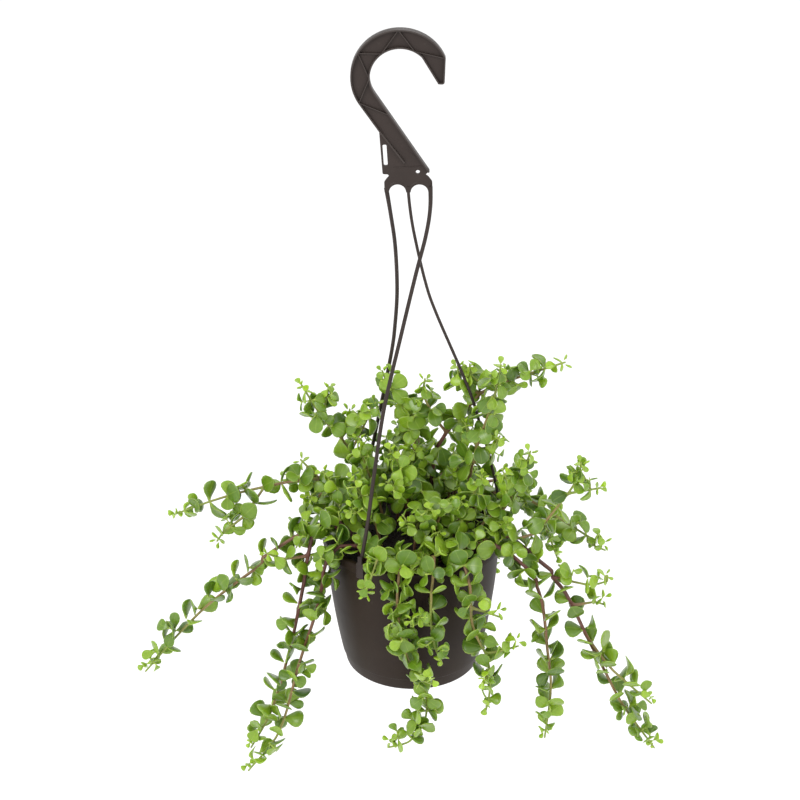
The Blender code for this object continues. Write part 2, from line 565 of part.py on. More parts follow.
class Stem:
    """A tapering stem: square rings along a path, in pairs where leaves or branches stand."""

    def __init__(self, path, radius, bare, frame=None):
        self.path = path
        self.radius = radius
        self.sides = {}
        self.ranks = {}
        marks = []
        distance = path.length - TIP_BARE_LENGTH
        rank = 0
        while distance > bare:
            marks.append((distance, rank))
            distance -= YOUNG_SPACINGS[rank] if rank < len(YOUNG_SPACINGS) else LEAF_SPACING
            rank += 1
        first = marks[-1][0] if marks else path.length
        plain = max(1, round(first / LEAF_SPACING))
        stops = [(mark, None) for mark in levels(0.0, first, plain)[:-1]]
        for distance, rank in reversed(marks):
            half = YOUNG_NODE_HALF_HEIGHT if rank < 2 else NODE_HALF_HEIGHT
            stops += [(distance - half, rank), (distance + half, None)]
        stops.append((path.length, None))
        self.rings = []
        axis = path.heading(0.0)
        across = frame or axis.orthogonal().normalized()
        for section, (distance, rank) in enumerate(stops):
            turned_axis = path.heading(distance)
            across = axis.rotation_difference(turned_axis) @ across
            across = (across - turned_axis * across.dot(turned_axis)).normalized()
            axis = turned_axis
            self.rings.append(self.ring(distance, axis, across))
            if rank is not None:
                self.ranks[section] = rank

    def ring(self, distance, axis, across):
        left = max(0.0, 1 - distance / self.path.length) ** STEM_SHRINK_POWER
        reach = STEM_CORNER_SHARE * (STEM_TIP_RADIUS + (self.radius - STEM_TIP_RADIUS) * left)
        behind = axis.cross(across)
        corners = ((1, 1), (-1, 1), (-1, -1), (1, -1))
        return [self.path.at(distance) + (across * a + behind * b) * reach for a, b in corners]

    def quad(self, section, side):
        lower, upper = self.rings[section], self.rings[section + 1]
        after = (side + 1) % 4
        return [lower[side], lower[after], upper[after], upper[side]]

    def directions(self, section, side):
        """Across, outward and upward (along the stem) at one side of a section."""
        quad = self.quad(section, side)
        across = (quad[1] - quad[0] + quad[2] - quad[3]).normalized()
        upward = (quad[3] - quad[0] + quad[2] - quad[1]).normalized()
        outward = across.cross(upward).normalized()
        return across, outward, outward.cross(across)


class Thicket:
    """What is already in place, so that new growth keeps clear of it."""

    def __init__(self, solids):
        bpy.context.view_layer.update()
        graph = bpy.context.evaluated_depsgraph_get()
        self.solids = [BVHTree.FromObject(obj, graph) for obj in solids]
        self.grown = []

    def add(self, points, faces, stem=None):
        centre = sum(points, Vector()) / len(points)
        reach = max((point - centre).length for point in points)
        self.grown.append((centre, reach, BVHTree.FromPolygons(points, faces), stem))

    def blocked(self, points, faces, stem):
        """True if a shape meets anything except the stem that carries it."""
        centre = sum(points, Vector()) / len(points)
        reach = max((point - centre).length for point in points)
        tree = BVHTree.FromPolygons(points, faces)
        if any(tree.overlap(solid) for solid in self.solids):
            return True
        for other_centre, other_reach, other, carrier in self.grown:
            if carrier is stem:
                continue
            if (other_centre - centre).length < reach + other_reach and tree.overlap(other):
                return True
        return False


SECTION_FACES = ((0, 1, 5, 4), (1, 2, 6, 5), (2, 3, 7, 6), (3, 0, 4, 7), (3, 2, 1, 0), (4, 5, 6, 7))


def register_stem(thicket, stem):
    for lower, upper in zip(stem.rings, stem.rings[1:]):
        thicket.add(lower + upper, SECTION_FACES, stem)


def widened(rings, margin):
    """Section corners moved away from the section's middle line."""
    points = []
    for ring in rings:
        centre = sum(ring, Vector()) / 4
        points += [corner + (corner - centre).normalized() * margin for corner in ring]
    return points


def branch_from(parent, section, side, points, radius, bare):
    quad = parent.quad(section, side)
    across = parent.directions(section, side)[0]
    start = sum(quad, Vector()) / 4
    child = Stem(Path([start, *points]), radius, bare, -across)
    child.rings[0] = quad
    return child


def grow_branch(parent, branch, thicket):
    """A named branch leaves the node nearest to its share of the parent's length."""
    points = [place_of(point) for point in branch.route]
    wanted = parent.path.at(parent.path.length * branch.share)
    section = min(parent.ranks, key=lambda index: (parent.rings[index][0] - wanted).length)
    heading = points[0] - parent.rings[section][0]
    side = max(range(4), key=lambda index: parent.directions(section, index)[1].dot(heading))
    child = branch_from(parent, section, side, points, branch.radius, BRANCH_BARE_LENGTH)
    parent.sides[section, side] = child
    register_stem(thicket, child)
    return child


def grow_twigs(stems, per_eight, thicket, chance):
    """Short side twigs leave some of the older nodes, bending up to the light."""
    found = []
    for stem in list(stems):
        for section, rank in stem.ranks.items():
            if rank < TWIG_LOWEST_RANK or chance.random() > per_eight / 8:
                continue
            side = (rank % 2) + 2 * chance.randrange(2)
            if (section, side) in stem.sides:
                continue
            outward, upward = stem.directions(section, side)[1:]
            sideways, onward, rising = TWIG_HEADING
            heading = (outward * sideways + upward * onward + Vector((0, 0, rising))).normalized()
            start = sum(stem.quad(section, side), Vector()) / 4
            length = chance.uniform(*TWIG_LENGTHS)
            bend = start + outward * length * TWIG_BEND
            end = bend + heading * length * (1 - TWIG_BEND) + Vector((0, 0, length * TWIG_RISE))
            twig = branch_from(stem, section, side, [bend, end], TWIG_RADIUS, TWIG_BARE_LENGTH)
            if any(thicket.blocked(widened(pair, TWIG_MARGIN), SECTION_FACES, stem)
                   for pair in zip(twig.rings, twig.rings[1:])):
                continue
            stem.sides[section, side] = twig
            register_stem(thicket, twig)
            found.append(twig)
    return found


def leaf_choices(chance):
    """Ways to hold a leaf, the preferred first: (size, turn, tilt)."""
    sway = chance.uniform(-LEAF_SWAY, LEAF_SWAY)
    for size in LEAF_SIZE_CHOICES:
        for tilt in LEAF_TILT_CHOICES:
            for turn in LEAF_TURN_CHOICES:
                yield size, turn + sway, LEAF_TILT + tilt + sway


def grow_leaf(stem, section, side, rank, thicket, chance):
    across, outward, upward = stem.directions(section, side)
    young = YOUNG_SIZES[rank] if rank < len(YOUNG_SIZES) else 1.0
    full = young * chance.uniform(*LEAF_SPREAD)
    roll = Quaternion(outward, math.radians(chance.uniform(-LEAF_ROLL, LEAF_ROLL)))
    for size, turn, tilt in leaf_choices(chance):
        swing = Quaternion(upward, math.radians(turn)) @ Quaternion(across, math.radians(tilt))
        leaf = Leaf(stem.quad(section, side), swing @ roll @ across, swing @ outward,
                    swing @ roll @ upward, size * full)
        if not thicket.blocked(leaf.envelope(LEAF_MARGIN), Leaf.faces, stem):
            stem.sides[section, side] = leaf
            thicket.add(leaf.envelope(0.0), Leaf.faces)
            return


def skin_leaf(bm, quad, leaf):
    belly = [bm.verts.new(point) for point in leaf.belly]
    tip = bm.verts.new(leaf.tip)
    for index in range(4):
        after = (index + 1) % 4
        bm.faces.new((quad[index], quad[after], belly[after], belly[index]))
        bm.faces.new((belly[index], belly[after], tip))


def skin_stem(bm, stem, quad=None):
    """One closed skin over a stem and all that grows from it."""
    lower = quad or [bm.verts.new(corner) for corner in stem.rings[0]]
    if quad is None:
        bm.faces.new(reversed(lower))
    for section, ring in enumerate(stem.rings[1:]):
        upper = [bm.verts.new(corner) for corner in ring]
        for side in range(4):
            after = (side + 1) % 4
            face = (lower[side], lower[after], upper[after], upper[side])
            part = stem.sides.get((section, side))
            if part is None:
                bm.faces.new(face)
            elif isinstance(part, Leaf):
                skin_leaf(bm, face, part)
            else:
                skin_stem(bm, part, face)
        lower = upper
    bm.faces.new(lower)


def build_plant(solids):
    thicket = Thicket(solids)
    chance = random.Random(SEED)
    plants = {}
    for shoot in SHOOTS:
        path = Path([place_of(point) for point in shoot.route])
        trunk = Stem(path, shoot.radius, STEM_BARE_LENGTH)
        for corner in trunk.rings[0]:
            corner.z = SOIL_HEIGHT + CLEARANCE
        register_stem(thicket, trunk)
        plants[shoot.name] = [trunk]
    for shoot in SHOOTS:
        trunk = plants[shoot.name][0]
        plants[shoot.name] += [grow_branch(trunk, branch, thicket) for branch in shoot.branches]
    for shoot in SHOOTS:
        stems = plants[shoot.name]
        stems += grow_twigs(stems, shoot.twigs, thicket, chance)
    for stems in plants.values():
        for stem in stems:
            for section, rank in stem.ranks.items():
                for side in (rank % 2, rank % 2 + 2):
                    if (section, side) not in stem.sides:
                        grow_leaf(stem, section, side, rank, thicket, chance)
    for name, stems in plants.items():
        bm = bmesh.new()
        skin_stem(bm, stems[0])
        paint(new_object(name, bm), (0.110, 0.200, 0.045), 0.32)


def main():
    clear_scene()
    pot = build_pot()
    soil = build_soil()
    hanger = build_hanger()
    build_plant((pot, soil, hanger))


main()
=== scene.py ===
import math
import random

import bmesh
import bpy
from mathutils import Matrix, Vector
from mathutils.bvhtree import BVHTree


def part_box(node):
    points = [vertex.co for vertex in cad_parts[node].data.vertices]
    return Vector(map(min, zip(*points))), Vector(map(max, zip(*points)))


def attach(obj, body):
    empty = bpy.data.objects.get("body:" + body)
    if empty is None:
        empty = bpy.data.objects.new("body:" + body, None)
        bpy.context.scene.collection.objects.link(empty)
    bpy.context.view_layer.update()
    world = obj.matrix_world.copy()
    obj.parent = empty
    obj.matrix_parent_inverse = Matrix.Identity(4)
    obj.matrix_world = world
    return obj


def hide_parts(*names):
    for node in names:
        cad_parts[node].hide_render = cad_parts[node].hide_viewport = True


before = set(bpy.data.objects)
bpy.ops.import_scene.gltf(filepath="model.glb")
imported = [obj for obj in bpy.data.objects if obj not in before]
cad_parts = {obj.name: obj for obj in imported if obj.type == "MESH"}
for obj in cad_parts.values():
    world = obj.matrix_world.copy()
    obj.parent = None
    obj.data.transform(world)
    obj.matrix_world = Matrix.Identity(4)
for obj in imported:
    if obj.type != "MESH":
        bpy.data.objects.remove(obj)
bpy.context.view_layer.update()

bl_info = {
    "name": "Elephant Bush in a Hanging Pot",
    "version": (1, 0, 0),
    "blender": (4, 5, 0),
    "location": "3D View > Sidebar > Elephant Bush",
    "description": "Finishes the leaves, bark, soil, pot and hanger of a hanging elephant bush",
    "category": "Add Mesh",
}

POT_LOW, POT_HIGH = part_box("pot")
SOIL_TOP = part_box("soil")[1].z
POT_AXIS_X = (POT_LOW.x + POT_HIGH.x) / 2
RIM_Z = POT_HIGH.z
BASE_Z = POT_LOW.z
LIP_RADIUS = (POT_HIGH.x - POT_LOW.x) / 2
SHOOTS = sorted(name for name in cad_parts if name.startswith("shoot_"))
TINY = 1e-5
SEED = 11


# Small helpers

def deselect():
    bpy.ops.object.select_all(action="DESELECT")


def activate(obj):
    """Makes one object the only selected one."""
    deselect()
    obj.select_set(True)
    bpy.context.view_layer.objects.active = obj


def named(name):
    obj = bpy.context.view_layer.objects.active
    obj.name = name
    obj.data.name = name
    return obj


def link(obj):
    bpy.context.scene.collection.objects.link(obj)
    return obj


def own_copy(obj):
    """A copy of an object with its own mesh."""
    copy = obj.copy()
    copy.data = obj.data.copy()
    return link(copy)


def store(mesh, title, values):
    """Keeps one number for each vertex, for the materials to read."""
    mesh.attributes.new(title, "FLOAT", "POINT").data.foreach_set("value", values)


def select_all(action="SELECT"):
    bpy.ops.mesh.select_all(action=action)


def edit(obj, mode="VERT", action="SELECT"):
    """Enters edit mode with everything selected, or with nothing."""
    activate(obj)
    bpy.ops.object.mode_set(mode="EDIT")
    bpy.ops.mesh.select_mode(type=mode)
    select_all(action)


def stop_edit():
    bpy.ops.object.mode_set(mode="OBJECT")


def select_vertices(obj, wanted):
    """Leaves exactly these vertices selected, in edit mode."""
    edit(obj, action="DESELECT")
    stop_edit()
    for index in wanted:
        obj.data.vertices[index].select = True
    bpy.ops.object.mode_set(mode="EDIT")


def shape(obj, wanted, move=None, scale=None, centre=(0, 0, 0)):
    """Scales and then moves the wanted vertices in edit mode."""
    select_vertices(obj, wanted)
    if scale:
        bpy.ops.transform.resize(value=scale, center_override=centre)
    if move:
        bpy.ops.transform.translate(value=move)
    stop_edit()


def add_modifier(obj, kind, **settings):
    """Adds a modifier with its settings and applies it."""
    activate(obj)
    modifier = obj.modifiers.new(kind.title(), kind)
    for name, value in settings.items():
        setattr(modifier, name, value)
    bpy.ops.object.modifier_apply(modifier=modifier.name)


def subdivide_smooth(obj, levels):
    add_modifier(obj, "SUBSURF", levels=levels, render_levels=levels)


def finish_piece(obj, material, nodes=(), angle=None):
    """Settles a piece's place in its mesh, gives it its finish and lets it ride on the frame."""
    activate(obj)
    bpy.ops.object.transform_apply(location=True, rotation=True, scale=True)
    if angle is None:
        bpy.ops.object.shade_smooth()
    else:
        bpy.ops.object.shade_smooth_by_angle(angle=math.radians(angle))
    obj.data.materials.clear()
    obj.data.materials.append(material)
    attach(obj, "root")
    if nodes:
        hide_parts(*nodes)
    return obj


def combine(base, operation, *others):
    """Unites other shapes with this one, or cuts them from it, and takes them away."""
    for other in others:
        add_modifier(base, "BOOLEAN", object=other, operation=operation, solver="EXACT")
        bpy.data.objects.remove(other)


def polyline(name, points, closed=False):
    """An edge-only mesh object through points."""
    mesh = bpy.data.meshes.new(name)
    count = len(points)
    edges = [(i, (i + 1) % count) for i in range(count if closed else count - 1)]
    mesh.from_pydata([tuple(point) for point in points], edges, [])
    return link(bpy.data.objects.new(name, mesh))


def face_outwards():
    select_all()
    bpy.ops.mesh.remove_doubles(threshold=TINY)
    bpy.ops.mesh.normals_make_consistent(inside=False)


def turn(name, profile, steps):
    """Spins a profile of (radius, z) points round the pot's axis."""
    obj = polyline(name, [(POT_AXIS_X + radius, 0.0, z) for radius, z in profile])
    edit(obj)
    bpy.ops.mesh.spin(steps=steps, angle=2 * math.pi, center=(POT_AXIS_X, 0, 0), axis=(0, 0, 1))
    face_outwards()
    stop_edit()
    return obj


# Materials

BLACK = (0.0, 0.0, 0.0)
WHITE = (1.0, 1.0, 1.0)
SCUFF = (0.085, 0.070, 0.060)
POT_SCUFF = (0.075, 0.060, 0.050)
# Colour of the painted highlight on the hook's raised ribs and flange.
PAINTED_RIDGE_HIGHLIGHT = (0.060, 0.050, 0.046)


class Finish:
    """A Principled material with short helpers for its pattern nodes."""

    def __init__(self, name, **values):
        self.material = bpy.data.materials.new(name)
        self.material.use_nodes = True
        self.tree = self.material.node_tree
        self.shader = self.tree.nodes["Principled BSDF"]
        for socket, value in values.items():
            self.shader.inputs[socket.replace("_", " ")].default_value = value

    def node(self, kind, **settings):
        made = self.tree.nodes.new(kind)
        for name, value in settings.items():
            setattr(made, name, value)
        return made

    def link(self, source, target):
        self.tree.links.new(source, target)

    def place(self):
        return self.node("ShaderNodeTexCoord").outputs["Object"]

    def attribute(self, name):
        return self.node("ShaderNodeAttribute", attribute_name=name).outputs["Fac"]

    def noise(self, scale, detail=4.0, roughness=0.55, where=None):
        made = self.node("ShaderNodeTexNoise")
        made.inputs["Scale"].default_value = scale
        made.inputs["Detail"].default_value = detail
        made.inputs["Roughness"].default_value = roughness
        self.link(where or self.place(), made.inputs["Vector"])
        return made.outputs["Fac"]

    def cells(self, scale):
        made = self.node("ShaderNodeTexVoronoi")
        made.inputs["Scale"].default_value = scale
        self.link(self.place(), made.inputs["Vector"])
        return made.outputs["Distance"]

    def ramp(self, source, *stops):
        made = self.node("ShaderNodeValToRGB")
        elements = made.color_ramp.elements
        while len(elements) < len(stops):
            elements.new(0.5)
        for element, (position, colour) in zip(elements, stops):
            element.position = position
            element.color = (*colour, 1.0) if len(colour) == 3 else colour
        self.link(source, made.inputs["Fac"])
        return made.outputs["Color"]

    def mask(self, source, low, high):
        """0 up to low, rising to 1 at high."""
        return self.ramp(source, (low, BLACK), (high, WHITE))

    def mix(self, factor, first, second, blend="MIX"):
        made = self.node("ShaderNodeMix", data_type="RGBA", blend_type=blend)
        for socket, value in ((made.inputs["Factor"], factor), (made.inputs[6], first),
                              (made.inputs[7], second)):
            if isinstance(value, (int, float, tuple)):
                socket.default_value = (*value, 1.0) if isinstance(value, tuple) else value
            else:
                self.link(value, socket)
        return made.outputs[2]

    def math(self, operation, first, second=0.0):
        made = self.node("ShaderNodeMath", operation=operation)
        for socket, value in zip(made.inputs, (first, second)):
            if isinstance(value, (int, float)):
                socket.default_value = value
            else:
                self.link(value, socket)
        return made.outputs["Value"]

    def spread(self, source, low, high):
        """Rescales a 0 to 1 value to low to high."""
        made = self.node("ShaderNodeMapRange")
        made.inputs["To Min"].default_value = low
        made.inputs["To Max"].default_value = high
        self.link(source, made.inputs["Value"])
        return made.outputs["Result"]

    def colour(self, source):
        self.link(source, self.shader.inputs["Base Color"])

    def roughness(self, source):
        self.link(source, self.shader.inputs["Roughness"])

    def bump(self, height, strength, distance):
        made = self.node("ShaderNodeBump")
        made.inputs["Strength"].default_value = strength
        made.inputs["Distance"].default_value = distance
        self.link(height, made.inputs["Height"])
        self.link(made.outputs["Normal"], self.shader.inputs["Normal"])


def leaf_finish(settings):
    """Fleshy green leaf: young leaves yellow-green, old ones deeper, with a paler thin margin."""
    finish = Finish("fleshy_leaf", Subsurface_Weight=0.18, Subsurface_Scale=0.004,
                    Coat_Weight=0.22, Coat_Roughness=0.28)
    finish.shader.inputs["Subsurface Radius"].default_value = (0.6, 1.0, 0.25)
    age = finish.attribute("age")
    tint = finish.attribute("tint")
    young = tuple(settings.young_leaf)
    grown = tuple(settings.grown_leaf)
    old = tuple(settings.old_leaf)
    base = finish.ramp(age, (0.0, young), (0.55, grown), (1.0, old))
    varied = finish.mix(finish.spread(tint, 0.0, 0.55), base, young)
    shade = finish.math("MULTIPLY", finish.math("SUBTRACT", 1.0, tint), 0.35)
    dark = finish.mix(shade, varied, old)
    mottle = finish.ramp(finish.noise(420.0, 3.0), (0.35, (0.86, 0.90, 0.84)), (0.7, (1.06, 1.05, 1.04)))
    flesh = finish.mix(0.8, dark, mottle, "MULTIPLY")
    margin = finish.mask(finish.attribute("edge"), 0.86, 0.98)
    pale = tuple(settings.leaf_margin)
    base_glow = finish.ramp(finish.attribute("along"), (0.04, (0.7, 0.7, 0.7)), (0.24, BLACK))
    rib = finish.mask(finish.attribute("rib"), 0.90, 1.0)
    lit = finish.mix(finish.math("MULTIPLY", rib, 0.20), finish.mix(base_glow, flesh, pale), pale)
    finish.colour(finish.mix(finish.math("MULTIPLY", margin, 0.5), lit, pale))
    finish.roughness(finish.spread(finish.noise(260.0, 3.0), 0.26, 0.42))
    finish.bump(finish.noise(900.0, 2.0), 0.12, 0.0004)
    return finish.material


def bark_finish(settings):
    """Smooth bark: yellow-green at the growing tips, tan further down, then maroon-brown."""
    finish = Finish("maroon_bark", Subsurface_Weight=0.05, Subsurface_Scale=0.002)
    age = finish.attribute("age")
    base = finish.ramp(age, (0.06, tuple(settings.tip_bark)), (0.28, tuple(settings.young_bark)),
                       (0.55, tuple(settings.old_bark)), (0.90, tuple(settings.trunk_bark)))
    streaks = finish.ramp(finish.noise(520.0, 4.0), (0.3, (0.72, 0.70, 0.70)), (0.75, (1.18, 1.15, 1.12)))
    finish.colour(finish.mix(0.85, base, streaks, "MULTIPLY"))
    finish.roughness(finish.spread(finish.noise(380.0), 0.38, 0.62))
    finish.bump(finish.noise(1100.0, 3.0), 0.25, 0.0004)
    return finish.material


def moulded_finish(name, colour, scuff, low, high, painted_highlight_depth=None):
    """Moulded plastic with a faint mottled flow, light scuffs and a satin sheen; given a depth, its raised
    ribs and flange get a painted highlight, paler than the pockets, which then read as painted shade.
    """
    finish = Finish(name, Specular_IOR_Level=0.16)
    flow = finish.ramp(finish.noise(22.0, 5.0, 0.6), (0.35, tuple(0.88 * part for part in colour)),
                       (0.7, tuple(1.10 * part for part in colour)))
    marks = finish.mask(finish.noise(160.0, 6.0, 0.75), 0.60, 0.78)
    plain = finish.mix(finish.math("MULTIPLY", marks, 0.28), flow, scuff)
    # Painted highlight: faces standing out beyond the given depth from the middle are lightened, leaving
    # the pockets darker as if shaded.
    if painted_highlight_depth:
        apart = finish.node("ShaderNodeSeparateXYZ")
        finish.link(finish.place(), apart.inputs["Vector"])
        outer = finish.math("GREATER_THAN", finish.math("ABSOLUTE", apart.outputs["Y"]), painted_highlight_depth)
        plain = finish.mix(finish.math("MULTIPLY", outer, 0.6), plain, PAINTED_RIDGE_HIGHLIGHT)
    finish.colour(plain)
    finish.roughness(finish.spread(finish.noise(60.0, 5.0, 0.6), low, high))
    finish.bump(finish.noise(1400.0, 2.0), 0.10, 0.0003)
    return finish.material


def soil_finish(settings):
    """Dark moist potting mix with paler crumbs."""
    finish = Finish("potting_soil")
    crumbs = finish.ramp(finish.cells(650.0), (0.0, (0.10, 0.070, 0.045)), (0.30, tuple(settings.soil)),
                         (1.0, (0.006, 0.004, 0.003)))
    patches = finish.ramp(finish.noise(120.0, 6.0), (0.3, (0.6, 0.58, 0.55)), (0.75, (1.3, 1.25, 1.2)))
    finish.colour(finish.mix(0.9, crumbs, patches, "MULTIPLY"))
    finish.roughness(finish.spread(finish.noise(300.0), 0.80, 0.98))
    finish.bump(finish.noise(700.0, 6.0, 0.7), 0.8, 0.0015)
    return finish.material


def backdrop_finish():
    finish = Finish("pale_backdrop", Base_Color=(0.96, 0.96, 0.96, 1.0), Roughness=0.9)
    finish.shader.inputs["Specular IOR Level"].default_value = 0.1
    return finish.material


# Settings

def colour_property(name, description, default):
    return bpy.props.FloatVectorProperty(name=name, description=description, default=default,
                                         min=0.0, max=1.0, size=3, subtype="COLOR")


def number_property(name, description, default, low, high, **kind):
    return bpy.props.FloatProperty(name=name, description=description, default=default,
                                   min=low, max=high, **kind)


class BUSH_PG_plant(bpy.types.PropertyGroup):
    """Colours and sizes of the leaves, the bark and the soil."""

    young_leaf: colour_property("Young leaf", "Colour of the newest leaves", (0.330, 0.500, 0.022))
    grown_leaf: colour_property("Grown leaf", "Colour of full-sized leaves", (0.136, 0.258, 0.009))
    old_leaf: colour_property("Old leaf", "Colour of the oldest leaves", (0.034, 0.092, 0.005))
    leaf_margin: colour_property("Leaf margin", "Colour of the thin leaf edge", (0.470, 0.590, 0.120))
    tip_bark: colour_property("Tip bark", "Colour of a stem's growing tip", (0.240, 0.330, 0.050))
    young_bark: colour_property("Young bark", "Colour of thin stems", (0.290, 0.200, 0.080))
    old_bark: colour_property("Old bark", "Colour of thicker stems", (0.160, 0.060, 0.045))
    trunk_bark: colour_property("Trunk bark", "Colour of the thickest stems", (0.075, 0.028, 0.026))
    soil: colour_property("Soil", "Colour of the potting mix", (0.026, 0.018, 0.012))
    leaf_swell: number_property("Leaf swell", "Width of a leaf beside its plain solid's width",
                                1.02, 0.8, 1.3, subtype="FACTOR")
    bark_swell: number_property("Bark swell", "How far the smoothed bark is grown back outwards",
                                0.00028, 0.0, 0.001, unit="LENGTH")


class BUSH_PG_holder(bpy.types.PropertyGroup):
    """Colours and sizes of the pot and its hanger."""

    pot_colour: colour_property("Pot", "Colour of the pot's plastic", (0.0230, 0.0138, 0.0088))
    hanger_colour: colour_property("Hanger", "Colour of the hanger's plastic", (0.0400, 0.0300, 0.0265))
    wall: number_property("Wall", "Thickness of the pot's wall", 0.0015, 0.0008, 0.004, unit="LENGTH")
    lip_skirt: number_property("Lip skirt", "Height of the pot's turned-down lip",
                               0.0085, 0.004, 0.02, unit="LENGTH")


class BUSH_PG_stage(bpy.types.PropertyGroup):
    """Camera and light."""

    camera_distance: number_property("Camera distance", "How far the camera stands in front of the hook",
                                     1.761, 0.5, 5.0, unit="LENGTH")
    camera_height: number_property("Camera height", "How far the camera stands above the hook's seat",
                                   0.580, 0.0, 2.0, unit="LENGTH")
    camera_dip: number_property("Camera dip", "How far the camera looks down",
                                math.radians(26.83), 0.0, math.radians(80), unit="ROTATION")
    lens: number_property("Lens", "Focal length", 104.9, 20.0, 200.0, unit="CAMERA")
    sky: number_property("Sky", "Strength of the even light from all round", 1.05, 0.0, 3.0)


# Plant reading: where the leaves stand on a plain solid

LEAF_LENGTH = 0.020
TIP_LIFT = 0.05
BELLY_DROP = 0.04
BELLY_SHARE = 0.60
THIN_RATIO = 3.0
TIP_REACH = 0.0025


class LeafPlace:
    """A leaf's base, its outward and upward directions, and its length beside a full-grown leaf's."""

    def __init__(self, base, belly, tip):
        self.base = base
        rise = (tip - base) - (belly - base) / BELLY_SHARE
        self.upward = rise.normalized()
        run = (tip - base) * BELLY_DROP + (belly - base) * TIP_LIFT
        self.outward = (run - self.upward * run.dot(self.upward)).normalized()
        self.size = (tip - base).dot(self.outward) / LEAF_LENGTH


def merged_copy(node, name):
    """An own copy of a plain solid, with its loose triangles joined up."""
    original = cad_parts[node]
    obj = link(bpy.data.objects.new(name, original.data.copy()))
    edit(obj)
    bpy.ops.mesh.remove_doubles(threshold=TINY)
    select_all("DESELECT")
    stop_edit()
    return obj


def belly_ring(vert):
    """The four corners round a leaf's tip, in order, or nothing where the point isn't a leaf's tip."""
    if len(vert.link_faces) != 4 or len(vert.link_edges) != 4:
        return []
    ring = [corner for corner in vert.link_faces[0].verts if corner is not vert]
    faces = set(vert.link_faces[1:])
    while len(ring) < 4:
        onward = [face for face in faces if ring[-1] in face.verts]
        if not onward:
            return []
        faces.discard(onward[0])
        ring += [corner for corner in onward[0].verts if corner is not vert and corner is not ring[-1]]
    if len({corner.index for corner in ring}) != 4:
        return []
    first = (ring[1].co - ring[0].co).length
    second = (ring[2].co - ring[1].co).length
    thin = max(first, second) / max(min(first, second), TINY) > THIN_RATIO
    far = min((corner.co - vert.co).length for corner in ring) > TIP_REACH
    return ring if thin and far else []


def find_leaves(obj):
    """Every leaf's place, and the vertices that belong to leaves alone."""
    bm = bmesh.new()
    bm.from_mesh(obj.data)
    places = []
    extra = []
    for vert in bm.verts:
        ring = belly_ring(vert)
        if not ring:
            continue
        inside = {vert, *ring}
        base = {edge.other_vert(corner) for corner in ring for edge in corner.link_edges} - inside
        if len(base) != 4:
            continue
        middle = sum((corner.co for corner in base), Vector()) / 4
        belly = sum((corner.co for corner in ring), Vector()) / 4
        places.append(LeafPlace(middle, belly, vert.co.copy()))
        extra += [corner.index for corner in inside]
    bm.free()
    return places, extra


# Leaves

LEAF_SEGMENTS = 8
LEAF_RINGS = 8
# Share of the length, half width, half thickness and how strongly the edges rise, base to tip.
LEAF_STATIONS = (
    (0.060, 0.060, 0.046, 0.10),
    (0.210, 0.150, 0.056, 0.60),
    (0.400, 0.310, 0.060, 1.00),
    (0.590, 0.415, 0.062, 0.95),
    (0.765, 0.410, 0.058, 0.80),
    (0.900, 0.300, 0.050, 0.60),
    (0.970, 0.150, 0.036, 0.50),
)
# Name, edge rise, curl of the tip (up is positive) and width beside the plain form.
LEAF_FORMS = (
    ("arched_leaf", 0.04, -0.26, 1.00),
    ("hooked_leaf", 0.10, -0.46, 0.94),
    ("keeled_leaf", 0.20, -0.16, 0.94),
    ("open_leaf", 0.07, -0.08, 1.02),
    ("spoon_leaf", 0.14, 0.10, 0.96),
)
LEAF_SHARES = (6, 4, 4, 4, 2)
CURL_SHORTENING = 0.35
SHOULDER_RISE = 0.42
SHOULDER_SPREAD = 1.08
SHOULDER_EDGE = 0.72
MIDDLE_EDGE = 0.25
OUTLINE_ANGLES = (0, 180)
MIDDLE_ANGLES = (90, 270)
SHOULDER_ANGLES = (45, 135, 225, 315)
LEAF_MIDDLE = 0.55
LEAF_ROOM = 0.42
LEAF_SINK = 0.0008
CROWD_CELL = 0.012
DOME_RADIUS = 0.125
DOME_FADE = 0.05
SPRIG_LEAST_SIZE = 0.6
SPRIG_CHANCE = 0.24
SPRIG_CROWDING = 0.86
SPRIG_PAIRS = (1, 2, 2, 2)
SPRIG_SIZES = (0.66, 0.88)
SPRIG_START = 0.0015
SPRIG_STEPS = (0.0045, 0.0065)
SPRIG_TOP_GAP = 0.004
STALK_RADII = (0.00075, 0.0005)
BUD_SIZES = (0.26, 0.36)
BUD_PARENT_SIZE = 0.55


